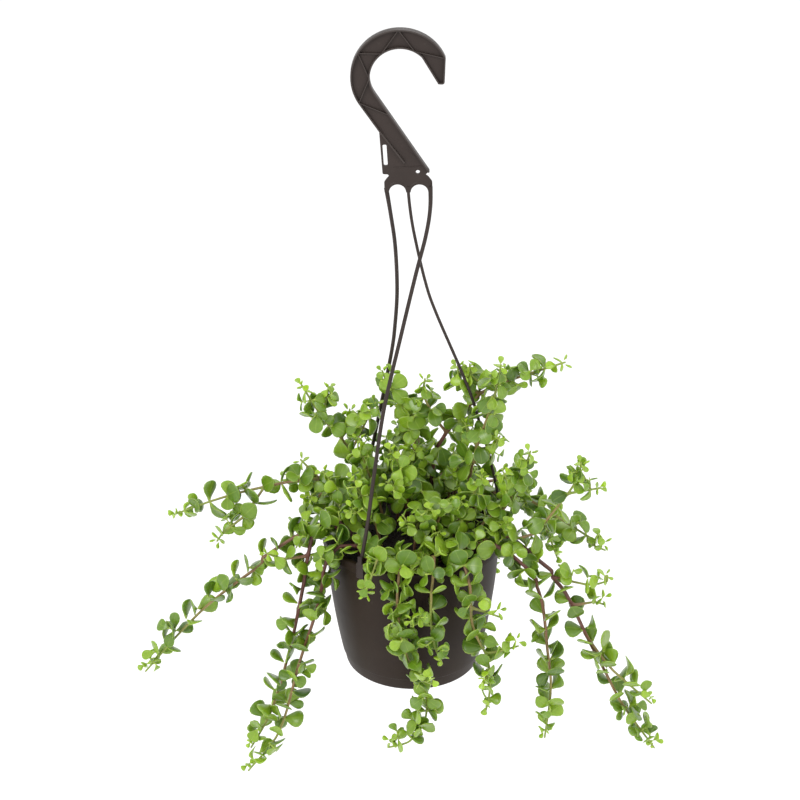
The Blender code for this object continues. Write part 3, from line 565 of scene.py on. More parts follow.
def model_leaf(name, edge_rise, curl, width):
    """A fleshy leaf along +Y from the origin: a ball drawn out ring by ring, then cupped and curled."""
    deselect()
    bpy.ops.mesh.primitive_uv_sphere_add(segments=LEAF_SEGMENTS, ring_count=LEAF_RINGS,
                                         radius=LEAF_LENGTH / 2, location=(0, LEAF_LENGTH / 2, 0),
                                         rotation=(-math.pi / 2, 0, 0))
    obj = named(name)
    bpy.ops.object.transform_apply(location=True, rotation=True, scale=True)
    mesh = obj.data
    levels = [(1 - math.cos(math.pi * ring / LEAF_RINGS)) / 2 for ring in range(1, LEAF_RINGS)]
    verts = []
    for vert in mesh.vertices:
        share = vert.co.y / LEAF_LENGTH
        ring = min(range(len(levels)), key=lambda index: abs(levels[index] - share))
        angle = round(math.degrees(math.atan2(vert.co.z, vert.co.x))) % 360
        verts.append((ring if TINY < share < 1 - TINY else None, angle, share))

    def wanted(ring, *angles):
        return [index for index, (home, angle, _) in enumerate(verts)
                if home == ring and (not angles or angle in angles)]

    for ring, (share, half_width, half_depth, keel) in enumerate(LEAF_STATIONS):
        level = levels[ring]
        radius = math.sqrt(level * (1 - level))
        shape(obj, wanted(ring), centre=(0, LEAF_LENGTH * level, 0),
              scale=(half_width * width / radius, 1, half_depth / radius),
              move=(0, LEAF_LENGTH * (share - level - abs(curl) * CURL_SHORTENING * share ** 3),
                    LEAF_LENGTH * curl * share ** 2))
        rise = LEAF_LENGTH * edge_rise * keel
        shape(obj, wanted(ring, *OUTLINE_ANGLES), move=(0, 0, rise))
        shape(obj, wanted(ring, *SHOULDER_ANGLES), move=(0, 0, SHOULDER_RISE * rise),
              scale=(SHOULDER_SPREAD, 1, 1))
    tips = [index for index, (home, _, share) in enumerate(verts) if home is None and share > 0.5]
    shape(obj, tips, move=(0, -LEAF_LENGTH * abs(curl) * CURL_SHORTENING,
                           LEAF_LENGTH * (curl + 0.5 * edge_rise * LEAF_STATIONS[-1][3])))
    values = {"edge": [], "rib": [], "along": []}
    for vert, (home, angle, _) in zip(mesh.vertices, verts):
        outline = home is None or angle in OUTLINE_ANGLES
        middle = angle in MIDDLE_ANGLES
        values["edge"].append(1.0 if outline else MIDDLE_EDGE if middle else SHOULDER_EDGE)
        values["rib"].append(1.0 if middle or home is None else 0.0)
        values["along"].append(vert.co.y / LEAF_LENGTH)
    for title, numbers in values.items():
        store(mesh, title, numbers)
    activate(obj)
    bpy.ops.object.shade_smooth()
    return obj


def leaf_matrix(base, outward, upward, size, wide):
    across = outward.cross(upward).normalized()
    upward = across.cross(outward).normalized()
    turn = Matrix((across, outward, upward)).transposed().to_4x4()
    return (Matrix.Translation(base) @ turn
            @ Matrix.Diagonal((size * wide, size, size ** 0.6, 1.0)))


def put_leaf(form, matrix, age, tint):
    """One leaf with its own mesh, its age and its tint."""
    obj = own_copy(form)
    obj.data.transform(matrix)
    for title, value in (("age", age), ("tint", tint)):
        store(obj.data, title, [value] * len(obj.data.vertices))
    return obj


def join_as(parts, name):
    deselect()
    for part in parts:
        part.select_set(True)
    bpy.context.view_layer.objects.active = parts[0]
    bpy.ops.object.join()
    return named(name)


class Crowd:
    """Leaf middles already placed, so that added leaves don't stand in one another."""

    def __init__(self):
        self.cells = {}

    def key(self, point):
        return tuple(int(part // CROWD_CELL) for part in point)

    def add(self, point, reach):
        self.cells.setdefault(self.key(point), []).append((point.copy(), reach))

    def free(self, point, reach):
        home = self.key(point)
        for a in (-1, 0, 1):
            for b in (-1, 0, 1):
                for c in (-1, 0, 1):
                    near = self.cells.get((home[0] + a, home[1] + b, home[2] + c), ())
                    if any((point - other).length < 0.5 * (reach + far) for other, far in near):
                        return False
        return True


def in_dome(point):
    """1 in the crowded middle of the bush, falling to 0 outside it."""
    flat = math.hypot(point.x - POT_AXIS_X, point.y)
    return max(0.0, min(1.0, (DOME_RADIUS - flat) / DOME_FADE))


def leaf_middle(base, outward, size):
    return base + outward * (LEAF_MIDDLE * LEAF_LENGTH * size)


def leaf_room(size):
    return LEAF_ROOM * LEAF_LENGTH * size


def sprig_leaves(place, crowd, chance):
    """A short side shoot of one or two pairs between a grown leaf and its stem."""
    crowded = in_dome(place.base)
    if place.size < SPRIG_LEAST_SIZE or chance.random() > SPRIG_CHANCE + SPRIG_CROWDING * crowded:
        return [], []
    across = place.outward.cross(place.upward).normalized()
    heading = (place.outward * chance.uniform(0.5, 1.0) + place.upward * chance.uniform(0.5, 1.0)
               + across * chance.uniform(-0.5, 0.5) + Vector((0, 0, 0.25))).normalized()
    spin = chance.uniform(0, math.pi)
    pairs = chance.choice(SPRIG_PAIRS)
    reach = SPRIG_START
    found = []
    for pair in range(pairs):
        size = place.size * chance.uniform(*SPRIG_SIZES) * (1.0 - 0.18 * pair)
        lean = 0.25 + 0.30 * pair
        for half in (0, 1):
            turn = spin + half * math.pi + pair * math.pi / 2
            side = across * math.cos(turn) + heading.cross(across) * math.sin(turn)
            outward = (side + heading * lean * chance.uniform(0.7, 1.2)).normalized()
            base = place.base + heading * reach
            middle = leaf_middle(base, outward, size)
            if crowd.free(middle, leaf_room(size)):
                upward = (heading - outward * heading.dot(outward)).normalized()
                crowd.add(middle, leaf_room(size))
                age = 0.58 - 0.20 * pair + 0.25 * chance.random()
                found.append((base, outward, upward, size, age))
        reach += chance.uniform(*SPRIG_STEPS)
    return found, [(place.base, heading, reach - SPRIG_TOP_GAP)] if found else []


def bud_leaf(place, chance):
    """One of the two newest leaves, closed over the growing tip beyond the last open pair."""
    base = place.base - place.outward * LEAF_SINK + place.upward * 0.0026
    outward = (place.upward + place.outward * chance.uniform(0.15, 0.45)).normalized()
    upward = (-place.outward - outward * outward.dot(-place.outward)).normalized()
    return base, outward, upward, chance.uniform(*BUD_SIZES), 0.0


def own_leaf(place, chance):
    """A plain solid's own leaf, turned a little off its plain direction."""
    across = place.outward.cross(place.upward).normalized()
    nod = Matrix.Rotation(math.radians(chance.gauss(8, 8)), 3, across)
    roll = Matrix.Rotation(math.radians(chance.gauss(0, 14)), 3, place.outward)
    outward = nod @ place.outward
    upward = roll @ nod @ place.upward
    age = min(1.0, max(0.0, (place.size - 0.38) / 0.62)) ** 1.3
    age = age * (0.62 + 0.38 * chance.random())
    size = place.size * chance.uniform(0.86, 1.02)
    return place.base - place.outward * LEAF_SINK, outward, upward, size, age


def leaf_form_name(age, chance):
    if age < 0.05:
        return "spoon_leaf"
    return chance.choices([form[0] for form in LEAF_FORMS], weights=LEAF_SHARES)[0]


def sprig_stem(base, heading, reach, form):
    """The thin green stem that carries a sprig's pairs."""
    turn = heading.to_track_quat("Z", "Y").to_matrix().to_4x4()
    matrix = Matrix.Translation(base) @ turn @ Matrix.Diagonal((1, 1, reach, 1))
    return put_leaf(form, matrix, 0.1, 0.5)


def model_sprig_stem():
    """A thin tapering stalk of unit length."""
    deselect()
    bpy.ops.mesh.primitive_cone_add(vertices=6, radius1=STALK_RADII[0], radius2=STALK_RADII[1],
                                    depth=1.0, location=(0, 0, 0.5))
    obj = named("sprig_stem")
    bpy.ops.object.transform_apply(location=True, rotation=True, scale=True)
    bpy.ops.object.shade_smooth()
    for title in ("edge", "rib", "along"):
        store(obj.data, title, [0.0] * len(obj.data.vertices))
    return obj


# Wood

THIN_STEM = 0.0016
THICK_STEM = 0.0052
LONG_EDGE = 0.0045
STEM_PROBE = 0.0001
FOOT_BAND = 0.0012
FOOT_DEPTH = 0.006


def thickness_ages(obj):
    """Stores each wood vertex's age, from how thick the stem is there."""
    bm = bmesh.new()
    bm.from_mesh(obj.data)
    bm.normal_update()
    tree = BVHTree.FromBMesh(bm)
    ages = []
    for vert in bm.verts:
        inwards = -vert.normal
        through = tree.ray_cast(vert.co + inwards * STEM_PROBE, inwards)[3] or 0.0
        ages.append(max(0.0, min(1.0, (through - THIN_STEM) / (THICK_STEM - THIN_STEM))))
    bm.free()
    store(obj.data, "age", ages)


def split_long_edges(obj):
    """Divides the long bare lengths, so that rounding a fork reaches only a little way along them."""
    edit(obj, "EDGE", "DESELECT")
    stop_edit()
    mesh = obj.data
    for line in mesh.edges:
        start, end = (mesh.vertices[index].co for index in line.vertices)
        line.select = (end - start).length > LONG_EDGE
    bpy.ops.object.mode_set(mode="EDIT")
    bpy.ops.mesh.subdivide(number_cuts=2)
    stop_edit()


def model_wood(obj, extra, swell):
    """The stems alone: leaves taken off, their openings closed, rounded and grown back to size."""
    select_vertices(obj, extra)
    bpy.ops.mesh.delete(type="VERT")
    select_all()
    bpy.ops.mesh.fill_holes(sides=4)
    select_all()
    bpy.ops.mesh.tris_convert_to_quads(face_threshold=math.radians(60), shape_threshold=math.radians(80))
    bpy.ops.mesh.normals_make_consistent(inside=False)
    stop_edit()
    thickness_ages(obj)
    feet = [vert.index for vert in obj.data.vertices if vert.co.z < SOIL_TOP + FOOT_BAND]
    select_vertices(obj, feet)
    bpy.ops.mesh.extrude_region_move(TRANSFORM_OT_translate={"value": (0, 0, -FOOT_DEPTH)})
    stop_edit()
    split_long_edges(obj)
    subdivide_smooth(obj, 2)
    add_modifier(obj, "DISPLACE", strength=swell, mid_level=0.0)


class BUSH_OT_plant(bpy.types.Operator):
    """Grow the bark and the leaves of every shoot"""

    bl_idname = "bush.plant"
    bl_label = "Shoots"

    def execute(self, context):
        settings = context.scene.bush_plant
        bark = bark_finish(settings)
        green = leaf_finish(settings)
        forms = {form[0]: model_leaf(*form) for form in LEAF_FORMS}
        stalk = model_sprig_stem()
        chance = random.Random(SEED)
        crowd = Crowd()
        shoots = {}
        for shoot in SHOOTS:
            obj = merged_copy(shoot, shoot + "_wood")
            places, extra = find_leaves(obj)
            if not places:
                raise RuntimeError(f"no leaves were found on {shoot}")
            model_wood(obj, extra, settings.bark_swell)
            finish_piece(obj, bark, (shoot,))
            shoots[shoot] = places
            for place in places:
                crowd.add(leaf_middle(place.base, place.outward, place.size), leaf_room(place.size))
        for shoot, places in shoots.items():
            leaves = []
            made = []
            for place in places:
                leaves.append(own_leaf(place, chance))
                sprig, stems = sprig_leaves(place, crowd, chance)
                leaves += sprig
                made += [sprig_stem(*stem, stalk) for stem in stems]
                if place.size < BUD_PARENT_SIZE:
                    leaves.append(bud_leaf(place, chance))
            for base, outward, upward, size, age in leaves:
                form = forms[leaf_form_name(age, chance)]
                wide = settings.leaf_swell * chance.uniform(0.94, 1.08)
                matrix = leaf_matrix(base, outward, upward, size, wide)
                made.append(put_leaf(form, matrix, age, chance.random()))
            finish_piece(join_as(made, shoot + "_leaves"), green, (shoot,))
        for form in (stalk, *forms.values()):
            bpy.data.objects.remove(form)
        return {"FINISHED"}


# Pot and soil

def rounded(corners, steps=5, closed=True):
    """Points along an outline whose corners (a, b, radius) are rounded off."""
    found = []
    last = len(corners) - 1
    for index, (a, b, radius) in enumerate(corners):
        here = Vector((a, b))
        if radius == 0 or (not closed and index in (0, last)):
            found.append(here)
            continue
        before = Vector(corners[index - 1][:2]) - here
        after = Vector(corners[(index + 1) % (last + 1)][:2]) - here
        half = before.angle(after) / 2
        reach = min(radius / math.tan(half), 0.49 * before.length, 0.49 * after.length)
        start = here + before.normalized() * reach
        end = here + after.normalized() * reach
        for step in range(steps + 1):
            t = step / steps
            found.append(start * (1 - t) ** 2 + here * (2 * t * (1 - t)) + end * t ** 2)
    return found


POT_DEPTH = RIM_Z - BASE_Z
WALL_TOP_RADIUS = LIP_RADIUS - 0.0030
WALL_BASE_RADIUS = 0.0592
BASE_BAND_HEIGHT = 0.0125
BASE_STEP = 0.0007
WALL_POWER = 1.8
LIP_FOLD = 0.0014
FLOOR_TOP = -POT_DEPTH + 0.0032
DRAIN_HOLES = 4
DRAIN_RADIUS = 0.004
DRAIN_CIRCLE = 0.034
SOIL_GAP = 0.0004
SOIL_FOOT_RADIUS = 0.0585
SOIL_FOOT = 0.0036
SOIL_RINGS = 34
SOIL_SIDE_RINGS = 8
LUMPS = ((0.016, 0.0036), (0.0035, 0.0022))
CRUMBS = 260
CRUMB_RADIUS = 0.0016


def wall_radius(depth):
    return WALL_TOP_RADIUS - (WALL_TOP_RADIUS - WALL_BASE_RADIUS) * (depth / POT_DEPTH) ** WALL_POWER


class BUSH_OT_pot(bpy.types.Operator):
    """Turn the moulded pot with its rolled lip, base band and drain holes"""

    bl_idname = "bush.pot"
    bl_label = "Pot"

    def execute(self, context):
        settings = context.scene.bush_holder
        wall = settings.wall
        skirt = settings.lip_skirt
        band_top = POT_DEPTH - BASE_BAND_HEIGHT
        depths = [skirt * 0.4 + (band_top - skirt * 0.4) * step / 22 for step in range(23)]
        corners = [(0.0, -POT_DEPTH + 0.0009, 0), (0.0240, -POT_DEPTH + 0.0009, 0.0004),
                   (0.0250, -POT_DEPTH + 0.0016, 0.0004), (0.0450, -POT_DEPTH + 0.0016, 0.0004),
                   (0.0465, -POT_DEPTH, 0.0005), (wall_radius(POT_DEPTH) - BASE_STEP, -POT_DEPTH, 0.0034),
                   (wall_radius(band_top) - BASE_STEP, -band_top - 0.0006, 0.0006),
                   (wall_radius(band_top), -band_top, 0.0004)]
        corners += [(wall_radius(depth), -depth, 0) for depth in reversed(depths[:-1])]
        corners += [(WALL_TOP_RADIUS + 0.0001, -skirt * 0.4, 0.0003),
                    (LIP_RADIUS - LIP_FOLD, -0.0020, 0.0006), (LIP_RADIUS - LIP_FOLD, -skirt, 0.0004),
                    (LIP_RADIUS, -skirt, 0.0004), (LIP_RADIUS, 0.0, 0.0016),
                    (WALL_TOP_RADIUS - wall, 0.0, 0.0010)]
        corners += [(wall_radius(depth) - wall, -depth, 0) for depth in depths]
        corners += [(wall_radius(POT_DEPTH) - wall - BASE_STEP, FLOOR_TOP, 0.0025), (0.0, FLOOR_TOP, 0)]
        profile = [(radius, RIM_Z + z) for radius, z in rounded(corners, 4, closed=False)]
        pot = turn("pot_body", profile, 128)
        for index in range(DRAIN_HOLES):
            angle = math.pi / 4 + index * math.pi / 2
            deselect()
            bpy.ops.mesh.primitive_cylinder_add(
                vertices=32, radius=DRAIN_RADIUS, depth=0.02,
                location=(POT_AXIS_X + DRAIN_CIRCLE * math.cos(angle),
                          DRAIN_CIRCLE * math.sin(angle), BASE_Z))
            combine(pot, "DIFFERENCE", named("drill"))
        plastic = moulded_finish("pot_plastic", tuple(settings.pot_colour), POT_SCUFF, 0.44, 0.58)
        finish_piece(pot, plastic, ("pot",), angle=40)
        return {"FINISHED"}


class BUSH_OT_soil(bpy.types.Operator):
    """Fill the pot with potting mix and strew loose crumbs over it"""

    bl_idname = "bush.soil"
    bl_label = "Soil"

    def execute(self, context):
        settings = context.scene.bush_plant
        chance = random.Random(SEED)
        top = SOIL_TOP
        bottom = BASE_Z + SOIL_FOOT
        wall = context.scene.bush_holder.wall + SOIL_GAP
        edge = wall_radius(RIM_Z - top) - wall
        profile = [(edge * step / SOIL_RINGS, top) for step in range(SOIL_RINGS + 1)]
        for step in range(1, SOIL_SIDE_RINGS + 1):
            z = top + (bottom - top) * step / SOIL_SIDE_RINGS
            most = SOIL_FOOT_RADIUS if step == SOIL_SIDE_RINGS else LIP_RADIUS
            profile.append((min(wall_radius(RIM_Z - z), most) - wall, z))
        profile.append((0.0, bottom))
        soil = turn("soil_fill", profile, 120)
        group = soil.vertex_groups.new(name="surface")
        for vert in soil.data.vertices:
            reach = math.hypot(vert.co.x - POT_AXIS_X, vert.co.y)
            weight = min(1.0, (edge - reach) / 0.004) if vert.co.z > top - TINY else 0.0
            group.add([vert.index], max(0.0, weight), "REPLACE")
        for size, strength in LUMPS:
            lumps = bpy.data.textures.new("soil_lumps", "CLOUDS")
            lumps.noise_scale = size
            add_modifier(soil, "DISPLACE", texture=lumps, strength=strength, mid_level=0.6,
                         vertex_group="surface", direction="Z")
        earth = soil_finish(settings)
        finish_piece(soil, earth, ("soil",))
        deselect()
        bpy.ops.mesh.primitive_ico_sphere_add(subdivisions=1, radius=CRUMB_RADIUS)
        crumb = named("crumb")
        crumbs = []
        for _ in range(CRUMBS):
            reach = (edge - 0.003) * math.sqrt(chance.random())
            angle = chance.uniform(0, 2 * math.pi)
            size = chance.uniform(0.4, 1.35)
            place = Vector((POT_AXIS_X + reach * math.cos(angle), reach * math.sin(angle),
                            top + chance.uniform(-0.0008, 0.0006)))
            turned = Matrix.Rotation(chance.uniform(0, 6), 4, "Z")
            turned = turned @ Matrix.Rotation(chance.uniform(0, 6), 4, "X")
            stretch = Matrix.Diagonal((size * chance.uniform(0.8, 1.7), size * chance.uniform(0.7, 1.2),
                                       size, 1))
            piece = own_copy(crumb)
            piece.data.transform(Matrix.Translation(place) @ turned @ stretch)
            crumbs.append(piece)
        bpy.data.objects.remove(crumb)
        finish_piece(join_as(crumbs, "soil_crumbs"), earth, angle=50)
        return {"FINISHED"}


# Hanger

HOOK_RADIUS = 0.024
HOOK_OUTSIDE = 0.0393
HOOK_DEPTH = 0.0074
WEB_DEPTH = 0.0020
RIB_DEPTH = 0.0062
PLATE_DEPTH = 0.0024
BAND_DEPTH = 0.0032
FLANGE = 0.0011
FLANGE_PROUD = 0.0001
RIB = 0.0008
RIB_INSET = 0.0004
# How far below the rib tops the painted highlight begins.
PAINTED_HIGHLIGHT_BELOW = 0.0005
SECTION_POWER = 0.6
CUTTER_DEPTH = 0.02


def on_arc(radius, angle):
    turned = math.radians(angle)
    return radius * math.cos(turned), radius * math.sin(turned) - HOOK_RADIUS


def arc(radius, first, last, step=5):
    count = max(1, round(abs(last - first) / step))
    return [(*on_arc(radius, first + (last - first) * index / count), 0) for index in range(count + 1)]


STRAND_WIDTH = 0.0031
STRAND_DEPTH = 0.0026
STRAND_TOP = -0.1110
STRAND_JOIN = -0.1160
STRAND_FLARE = 0.0006
FLARE_LENGTH = 0.022
CLIP_REACH = LIP_RADIUS + 0.00135
CLIP_GAP = 0.0003
CLIP_THICKNESS = 0.0021
CLIP_WIDTH = 0.0070
CLIP_RISE = 0.0040
BARB_DEPTH = 0.0018
BARB_GAP = 0.0004
NECK_LOW = 0.0030
NECK_HIGH = 0.0105
NECK_INSET = 0.0002
NECK_WIDTH = 0.0042
# Top, azimuth of the clip, and (share of the way down, shift to +X of the straight line).
STRANDS = (
    ("strand_back", -0.0124, 123, ((0.10, 0.0067), (0.20, 0.0125), (0.33, 0.0166), (0.44, 0.0171),
                                   (0.54, 0.0156), (0.76, 0.0082), (0.94, 0.0020))),
    ("strand_right", 0.0060, 4, ((0.07, -0.0041), (0.15, -0.0070), (0.28, -0.0089), (0.37, -0.0073),
                                  (0.58, 0.0018), (0.70, 0.0034), (0.81, 0.0036))),
    ("strand_front", 0.0245, -124, ((0.07, 0.0041), (0.14, 0.0047), (0.24, 0.0022), (0.39, -0.0007),
                                     (0.58, -0.0038), (0.75, -0.0022), (0.90, 0.0))),
)


def radial(azimuth):
    return Vector((math.cos(math.radians(azimuth)), math.sin(math.radians(azimuth)), 0.0))


def flowing(points, samples=8):
    """Points close together on a smooth curve through the given ones."""
    ends = [2 * points[0] - points[1], *points, 2 * points[-1] - points[-2]]
    found = [points[0]]
    for before, start, end, after in zip(ends, ends[1:], ends[2:], ends[3:]):
        for step in range(1, samples + 1):
            t = step / samples
            found.append(0.5 * (2 * start + (end - before) * t
                                + (2 * before - 5 * start + 4 * end - after) * t ** 2
                                + (3 * start - before - 3 * end + after) * t ** 3))
    return found


def strand_line(strand):
    """A strand's middle line, from inside the plate down to its clip."""
    _, top_x, azimuth, bow = strand
    top = Vector((top_x, 0.0, STRAND_TOP))
    end = Vector((POT_AXIS_X, 0, RIM_Z + 0.0020)) + radial(azimuth) * CLIP_REACH
    return flowing([top, *(top.lerp(end, share) + Vector((shift, 0, 0)) for share, shift in bow), end])


def strand_x(strand, height):
    """Where a strand stands at a height near the plate."""
    line = strand_line(strand)
    index = next(index for index, point in enumerate(line) if point.z < height)
    above, below = line[index - 1], line[index]
    return above.lerp(below, (above.z - height) / (above.z - below.z)).x


RIB_END = (0.0032, -0.0960)
SHAFT_RIB_END = (-0.0081, -0.0555)
RIDGE = ((-0.0047, -0.1004), (0.0172, -0.0992))
OUTER_EDGE = [(*RIB_END, 0), (-0.0168, -0.0690, 0.012), *arc(HOOK_OUTSIDE, 213, 24)]
TIP_EDGE = [(0.0352, -0.0294, 0.0022), (0.0304, -0.0292, 0.0013), (0.0172, -0.0071, 0.010)]
INNER_EDGE = [*arc(HOOK_RADIUS, 50, 213), (0.0238, -0.1035, 0)]
PLATE_LEFT_EDGE = [(-0.0168, -0.0690, 0), (-0.0141, -0.1062, 0.0014), (-0.0098, -0.1064, 0.0008),
                   (-0.0089, -0.1079, 0.0006), (-0.0106, -0.1098, 0.0010), (-0.0128, -0.1130, 0.0026)]
PLATE_RIGHT_EDGE = [(0.0261, -0.1124, 0.0032), (0.0230, -0.1083, 0.0010), (0.0206, -0.1066, 0.0006),
                    (0.0226, -0.1046, 0.0010), (0.0241, -0.1030, 0.0010), (0.0170, -0.0940, 0),
                    (-0.0060, -0.0760, 0)]
SLOT = [(-0.0130, -0.0988, 0.0012), (-0.0098, -0.0988, 0.0012), (-0.0109, -0.0808, 0.0012),
        (-0.0141, -0.0808, 0.0012)]
HOLE = (0.0144, -0.1042)
HOLE_RADIUS = 0.0017
LEG_HALF = 0.0018
SPRING_Z = -0.1220
ARCH_TOP = -0.1150
ARCH_BAND = 0.0026
BAND_PROUD = 0.0001


def arch(first, second, wider=0.0):
    """A round arch between two strands, from its left springing to its right one."""
    left = strand_x(STRANDS[first], SPRING_Z) + LEG_HALF - wider
    right = strand_x(STRANDS[second], SPRING_Z) - LEG_HALF + wider
    rise = ARCH_TOP + wider - SPRING_Z
    turns = [math.radians(angle) for angle in range(180, -1, -12)]
    return [((left + right) / 2 + (right - left) / 2 * math.cos(turn), SPRING_Z + rise * math.sin(turn), 0)
            for turn in turns]


def prism(name, outline, depth, soften=0.0):
    """A flat outline in the XZ plane given its depth, with softened edges."""
    obj = polyline(name, [(x, -depth / 2, z) for x, z in outline], closed=True)
    edit(obj)
    bpy.ops.mesh.edge_face_add()
    select_all()
    bpy.ops.mesh.extrude_region_move(TRANSFORM_OT_translate={"value": (0, depth, 0)})
    select_all()
    bpy.ops.mesh.normals_make_consistent(inside=False)
    stop_edit()
    if soften:
        add_modifier(obj, "BEVEL", width=soften, segments=3, limit_method="ANGLE",
                     angle_limit=math.radians(50), use_clamp_overlap=True)
    return obj


def beside(points, distance):
    """An open line moved sideways by a distance."""
    found = []
    for index, point in enumerate(points):
        before = points[max(index - 1, 0)]
        after = points[min(index + 1, len(points) - 1)]
        heading = (after - before).normalized()
        found.append(point + Vector((-heading.y, heading.x)) * distance)
    return found


def inside(points, distance):
    """An open line moved to its right, without the loops that tight corners would make."""
    return [moved for moved in beside(points, -distance)
            if min((moved - point).length for point in points) > 0.99 * distance]


def bar(name, start, end, width, depth, soften):
    heading = (Vector(end) - Vector(start)).normalized()
    side = Vector((-heading.y, heading.x)) * width / 2
    outline = [Vector(start) - side, Vector(end) - side, Vector(end) + side, Vector(start) + side]
    return prism(name, outline, depth, soften)


class BUSH_OT_hook(bpy.types.Operator):
    """Build the moulded hook and its plate: web, flange, zigzag ribs, slot, hole and arches"""

    bl_idname = "bush.hook"
    bl_label = "Hook and plate"

    def execute(self, context):
        settings = context.scene.bush_holder
        rim = rounded(OUTER_EDGE + TIP_EDGE + INNER_EDGE, 5, closed=False)
        hook = prism("hook_plate", rim, WEB_DEPTH)
        border = beside(rim, FLANGE_PROUD) + inside(rim, FLANGE)[::-1]
        flange = prism("flange", border, HOOK_DEPTH, 0.0003)
        middle = HOOK_RADIUS + RIB_INSET
        outside = HOOK_OUTSIDE - RIB_INSET
        zigzag = [on_arc(outside, 24), on_arc(middle, 62), on_arc(outside, 92), on_arc(middle, 127),
                  on_arc(outside, 149), on_arc(middle, 182), on_arc(outside, 213), SHAFT_RIB_END]
        ribs = [bar(f"rib_{index}", start, end, RIB, RIB_DEPTH, 0.0002)
                for index, (start, end) in enumerate(zip(zigzag, zigzag[1:]))]
        ribs.append(bar("ridge", *RIDGE, RIB, BAND_DEPTH, 0.0002))
        ribs.append(bar("ridge_end", RIB_END, (RIB_END[0], RIDGE[0][1]), RIB, BAND_DEPTH, 0.0002))
        lobes = [(strand_x(STRANDS[0], SPRING_Z) - LEG_HALF, SPRING_Z, 0), *arch(0, 1), *arch(1, 2),
                 (strand_x(STRANDS[2], SPRING_Z) + LEG_HALF, SPRING_Z, 0)]
        plate = prism("plate", rounded(PLATE_LEFT_EDGE + lobes + PLATE_RIGHT_EDGE, 5), PLATE_DEPTH, 0.0004)
        bands = []
        for first, second in ((0, 1), (1, 2)):
            outline = arch(first, second, -BAND_PROUD) + arch(first, second, ARCH_BAND)[::-1]
            depth = BAND_DEPTH + first * BAND_PROUD
            bands.append(prism("band", [point[:2] for point in outline], depth, 0.0009))
        combine(hook, "UNION", plate, flange, *ribs, *bands)
        slot = prism("slot", rounded(SLOT), CUTTER_DEPTH)
        deselect()
        bpy.ops.mesh.primitive_cylinder_add(vertices=40, radius=HOLE_RADIUS, depth=CUTTER_DEPTH,
                                            location=(HOLE[0], 0, HOLE[1]), rotation=(math.pi / 2, 0, 0))
        combine(hook, "DIFFERENCE", slot, named("hole"))
        # The hook's raised ribs and flange get a painted highlight.
        plastic = moulded_finish("hook_plastic", tuple(settings.hanger_colour), SCUFF, 0.30, 0.46,
                                 painted_highlight_depth=RIB_DEPTH / 2 - PAINTED_HIGHLIGHT_BELOW)
        finish_piece(hook, plastic, ("hanger",), angle=32)
        return {"FINISHED"}


def hanger_plastic(settings):
    known = bpy.data.materials.get("hanger_plastic")
    return known or moulded_finish("hanger_plastic", tuple(settings.hanger_colour), SCUFF, 0.30, 0.46)


class BUSH_OT_strands(bpy.types.Operator):
    """Run the three moulded strands from the plate's legs to the rim's clips"""

    bl_idname = "bush.strands"
    bl_label = "Strands"

    def execute(self, context):
        plastic = hanger_plastic(context.scene.bush_holder)
        for strand in STRANDS:
            line = [point for point in strand_line(strand) if point.z < STRAND_JOIN]
            self.build(strand[0], line, radial(strand[2]), plastic)
        return {"FINISHED"}

    def build(self, name, points, around, plastic):
        """Sweeps a rounded flat section, keeping its wide side square to the pot's rim."""
        deselect()
        bpy.ops.mesh.primitive_circle_add(vertices=16, radius=0.5, fill_type="NGON")
        section = named(name)
        corners = [vert.co.copy() for vert in section.data.vertices]
        bpy.data.objects.remove(section)
        bm = bmesh.new()
        rings = []
        for index, point in enumerate(points):
            heading = (points[min(index + 1, len(points) - 1)] - points[max(index - 1, 0)]).normalized()
            side = heading.cross(around).normalized()
            front = side.cross(heading)
            flare = max(0.0, 1 - (points[0] - point).length / FLARE_LENGTH)
            width = STRAND_WIDTH + STRAND_FLARE * flare
            ring = []
            for corner in corners:
                a = math.copysign(abs(2 * corner.x) ** SECTION_POWER, corner.x) / 2
                b = math.copysign(abs(2 * corner.y) ** SECTION_POWER, corner.y) / 2
                ring.append(bm.verts.new(point + side * (a * width) + front * (b * STRAND_DEPTH)))
            rings.append(ring)
        for lower, upper in zip(rings, rings[1:]):
            for index in range(len(corners)):
                after = (index + 1) % len(corners)
                bm.faces.new((lower[index], lower[after], upper[after], upper[index]))
        bm.faces.new(rings[0])
        bm.faces.new(rings[-1])
        bmesh.ops.recalc_face_normals(bm, faces=bm.faces)
        mesh = bpy.data.meshes.new(name)
        bm.to_mesh(mesh)
        bm.free()
        obj = link(bpy.data.objects.new(name, mesh))
        finish_piece(obj, plastic, angle=50)


